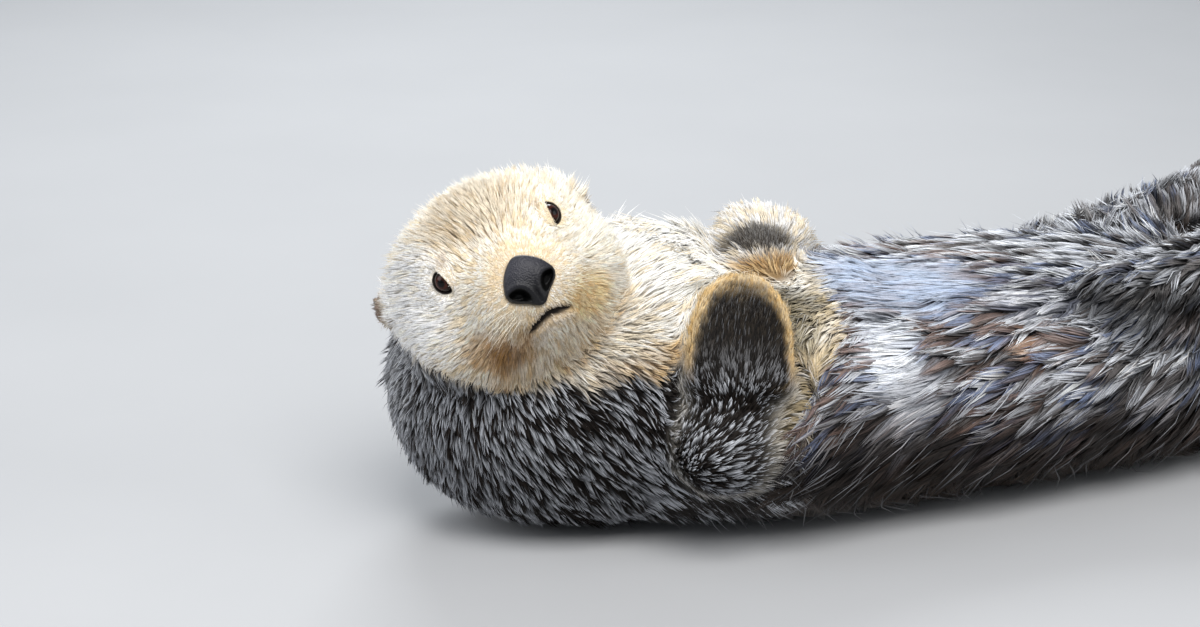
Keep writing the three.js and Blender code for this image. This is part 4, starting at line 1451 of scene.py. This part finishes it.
def spines(name, roots, directions, droop, lengths, widths, sides, colour):
    """Closed thin cones that bend the way of droop, one at each root, as one piece."""
    directions = unit(np.asarray(directions))
    lengths, widths = np.asarray(lengths)[:, None], widths / 2
    side = unit(np.cross(directions, droop))
    over = np.cross(side, directions)
    turn = np.linspace(0, 2 * math.pi, sides, endpoint=False)[None, :, None]
    around = side[:, None] * np.cos(turn) + over[:, None] * np.sin(turn)
    steps = (0, 0.3, 0.6, 0.85)
    rings = []
    for t in steps:
        middle = roots + directions * lengths * t + droop * lengths * t**2
        rings.append(middle[:, None] + widths * (1 - 0.75 * t) * around)
    tips = roots + directions * lengths + droop * lengths
    points = np.concatenate([*rings, tips[:, None]], 1)
    faces = tube_faces(len(steps), sides, end=len(steps) * sides)
    numbers = faces[None] + points.shape[1] * np.arange(len(points))[:, None, None]
    piece = mesh_object(name, points.reshape(-1, 3), numbers.reshape(-1, 3))
    colour_points(piece, np.broadcast_to(linear(colour), (points.shape[0] * points.shape[1], 3)))
    return piece


def add_whiskers(skin):
    """Stiff pale hairs in rows on the whisker pads, swept out and down."""
    roots, directions, lengths = [], [], []
    for side in (-1, 1):
        for row in range(4):
            for place in range(5 - row % 2):
                x = side * (17 + 4 * place + RNG.normal(0, 0.4))
                z = -42 - 4.3 * row + 0.5 * place + RNG.normal(0, 0.4)
                start = from_face((x, -90, z))
                hit = skin.tree.ray_cast(Vector(start), Vector(FACE[:, 1]))[0]
                if hit is None:
                    continue
                outward = (side * (0.75 + 0.06 * place), -0.35 + 0.1 * place, 0.12 - 0.1 * row)
                roots.append(np.array(hit) + FACE[:, 1] * 0.8)
                directions.append(FACE @ (unit(np.array(outward)) + RNG.normal(0, 0.06, 3)))
                lengths.append(20 + 2.6 * place + RNG.normal(0, 2.5))
    droop = 0.3 * (FACE @ np.array([0, 0.7, -0.7]))
    piece = spines("whiskers", roots, directions, droop, lengths, 0.42, 4, (238, 230, 212))
    add_piece(piece, coat_material("whisker"), "cream_fur")


def add_claws():
    """A short curved claw on each toe of the hind feet."""
    roots, directions, droops = [], [], []
    for side, joints in HINDLEGS.items():
        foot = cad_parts["hind_foot_" + side].data.vertices
        outline = np.array([v.co for v in foot]) / MM - SHIFT
        axis, across, sole = foot_axes(side)
        rel = outline - joints[2]
        for toe in range(-2, 3):
            near = np.abs(rel @ across - toe * TOE_GAP * FOOT_HALF) < 9
            tip = outline[near][(rel[near] @ axis).argmax()]
            roots.append(tip - axis * 5 - sole * 1.5)
            directions.append(axis)
            droops.append(sole * 0.3)
    lengths = [12.0] * len(roots)
    piece = spines("claws", roots, directions, np.array(droops), lengths, 3.4, 8, (58, 48, 42))
    add_piece(piece, coat_material("claw"), "foot_fur")


# ---------------------------------------------------------------- stage, light and camera

FLOOR_HALF = 6000.0
LENS = 90
SENSOR = 36
DISTANCE = 2222
EYES_LEFT_OF_MIDDLE = 76.3  # mm in the picture plane from the picture's middle
EYES_ABOVE_MIDDLE = 48.5

# Each light's azimuth and elevation, distance and size in metres, power and colour.
LIGHTS = {
    "key": (-16, 56, 2.6, 1.6, 74, (1, 0.985, 0.965)),
    "fill": (-100, 30, 3.0, 2.0, 44, (0.97, 0.98, 1)),
    "side": (50, 24, 3.0, 2.0, 26, (1, 0.99, 0.97)),
    "back": (165, 40, 2.6, 1.2, 45, (0.95, 0.98, 1)),
}
LIT_PLACE = (-0.25, 0, 0.1)  # the place that the lights stand round, metres


def add_camera():
    """The camera stands in the direction that the head looks in, before its turn."""
    right, up, back = view_axes(LOOK_AZIMUTH, LOOK_UP)
    target = EYES + right * EYES_LEFT_OF_MIDDLE - up * EYES_ABOVE_MIDDLE
    data = bpy.data.cameras.new("camera")
    data.lens = LENS
    data.sensor_width = SENSOR
    camera = bpy.data.objects.new("camera", data)
    camera.location = (target + back * DISTANCE + SHIFT) * MM
    camera.rotation_euler = Vector(back).to_track_quat("Z", "Y").to_euler()
    bpy.context.scene.collection.objects.link(camera)
    bpy.context.scene.camera = camera


def add_light(name, azimuth, elevation, distance, size, power, colour):
    """A square soft light."""
    _, _, back = view_axes(azimuth, elevation)
    data = bpy.data.lights.new(name, "AREA")
    data.shape = "SQUARE"
    data.size = size
    data.energy = power
    data.color = colour
    light = bpy.data.objects.new(name, data)
    light.location = np.array(LIT_PLACE) + back * distance
    light.rotation_euler = Vector(back).to_track_quat("Z", "Y").to_euler()
    bpy.context.scene.collection.objects.link(light)


def add_floor():
    half = FLOOR_HALF
    corners = np.array([(-half, -half, 0), (half, -half, 0), (half, half, 0), (-half, half, 0)])
    floor = mesh_object("floor", corners - SHIFT * (1, 1, 1), np.array([(0, 1, 2, 3)]))
    material, tree, shader = new_material("floor", 0.8, 0.0, 0.5)
    grain = textured(tree, "ShaderNodeTexNoise", 3.0, Detail=3.0)
    blend = tree.nodes.new("ShaderNodeMix")
    blend.data_type = "RGBA"
    blend.inputs["A"].default_value = (0.36, 0.365, 0.375, 1)
    blend.inputs["B"].default_value = (0.40, 0.405, 0.415, 1)
    tree.links.new(grain.outputs["Fac"], blend.inputs["Factor"])
    tree.links.new(blend.outputs["Result"], shader.inputs["Base Color"])
    floor.data.materials.append(material)


def add_world():
    world = bpy.data.worlds.new("studio")
    world.use_nodes = True
    background = world.node_tree.nodes["Background"]
    background.inputs["Color"].default_value = (0.78, 0.83, 0.90, 1)
    background.inputs["Strength"].default_value = 0.42
    bpy.context.scene.world = world


def add_studio():
    add_floor()
    add_world()
    add_camera()
    for name, light in LIGHTS.items():
        add_light(name, *light)
    settings = bpy.context.scene.view_settings
    settings.view_transform = "Standard"
    settings.look = "None"


SKIN = Skin()
EYE_MATERIAL = coat_material("eye_surface")
add_skin(SKIN)
add_coat(SKIN)
add_nose()
for eye_side in (-1, 1):
    add_eye(eye_side, EYE_MATERIAL)
add_whiskers(SKIN)
add_claws()
add_studio()
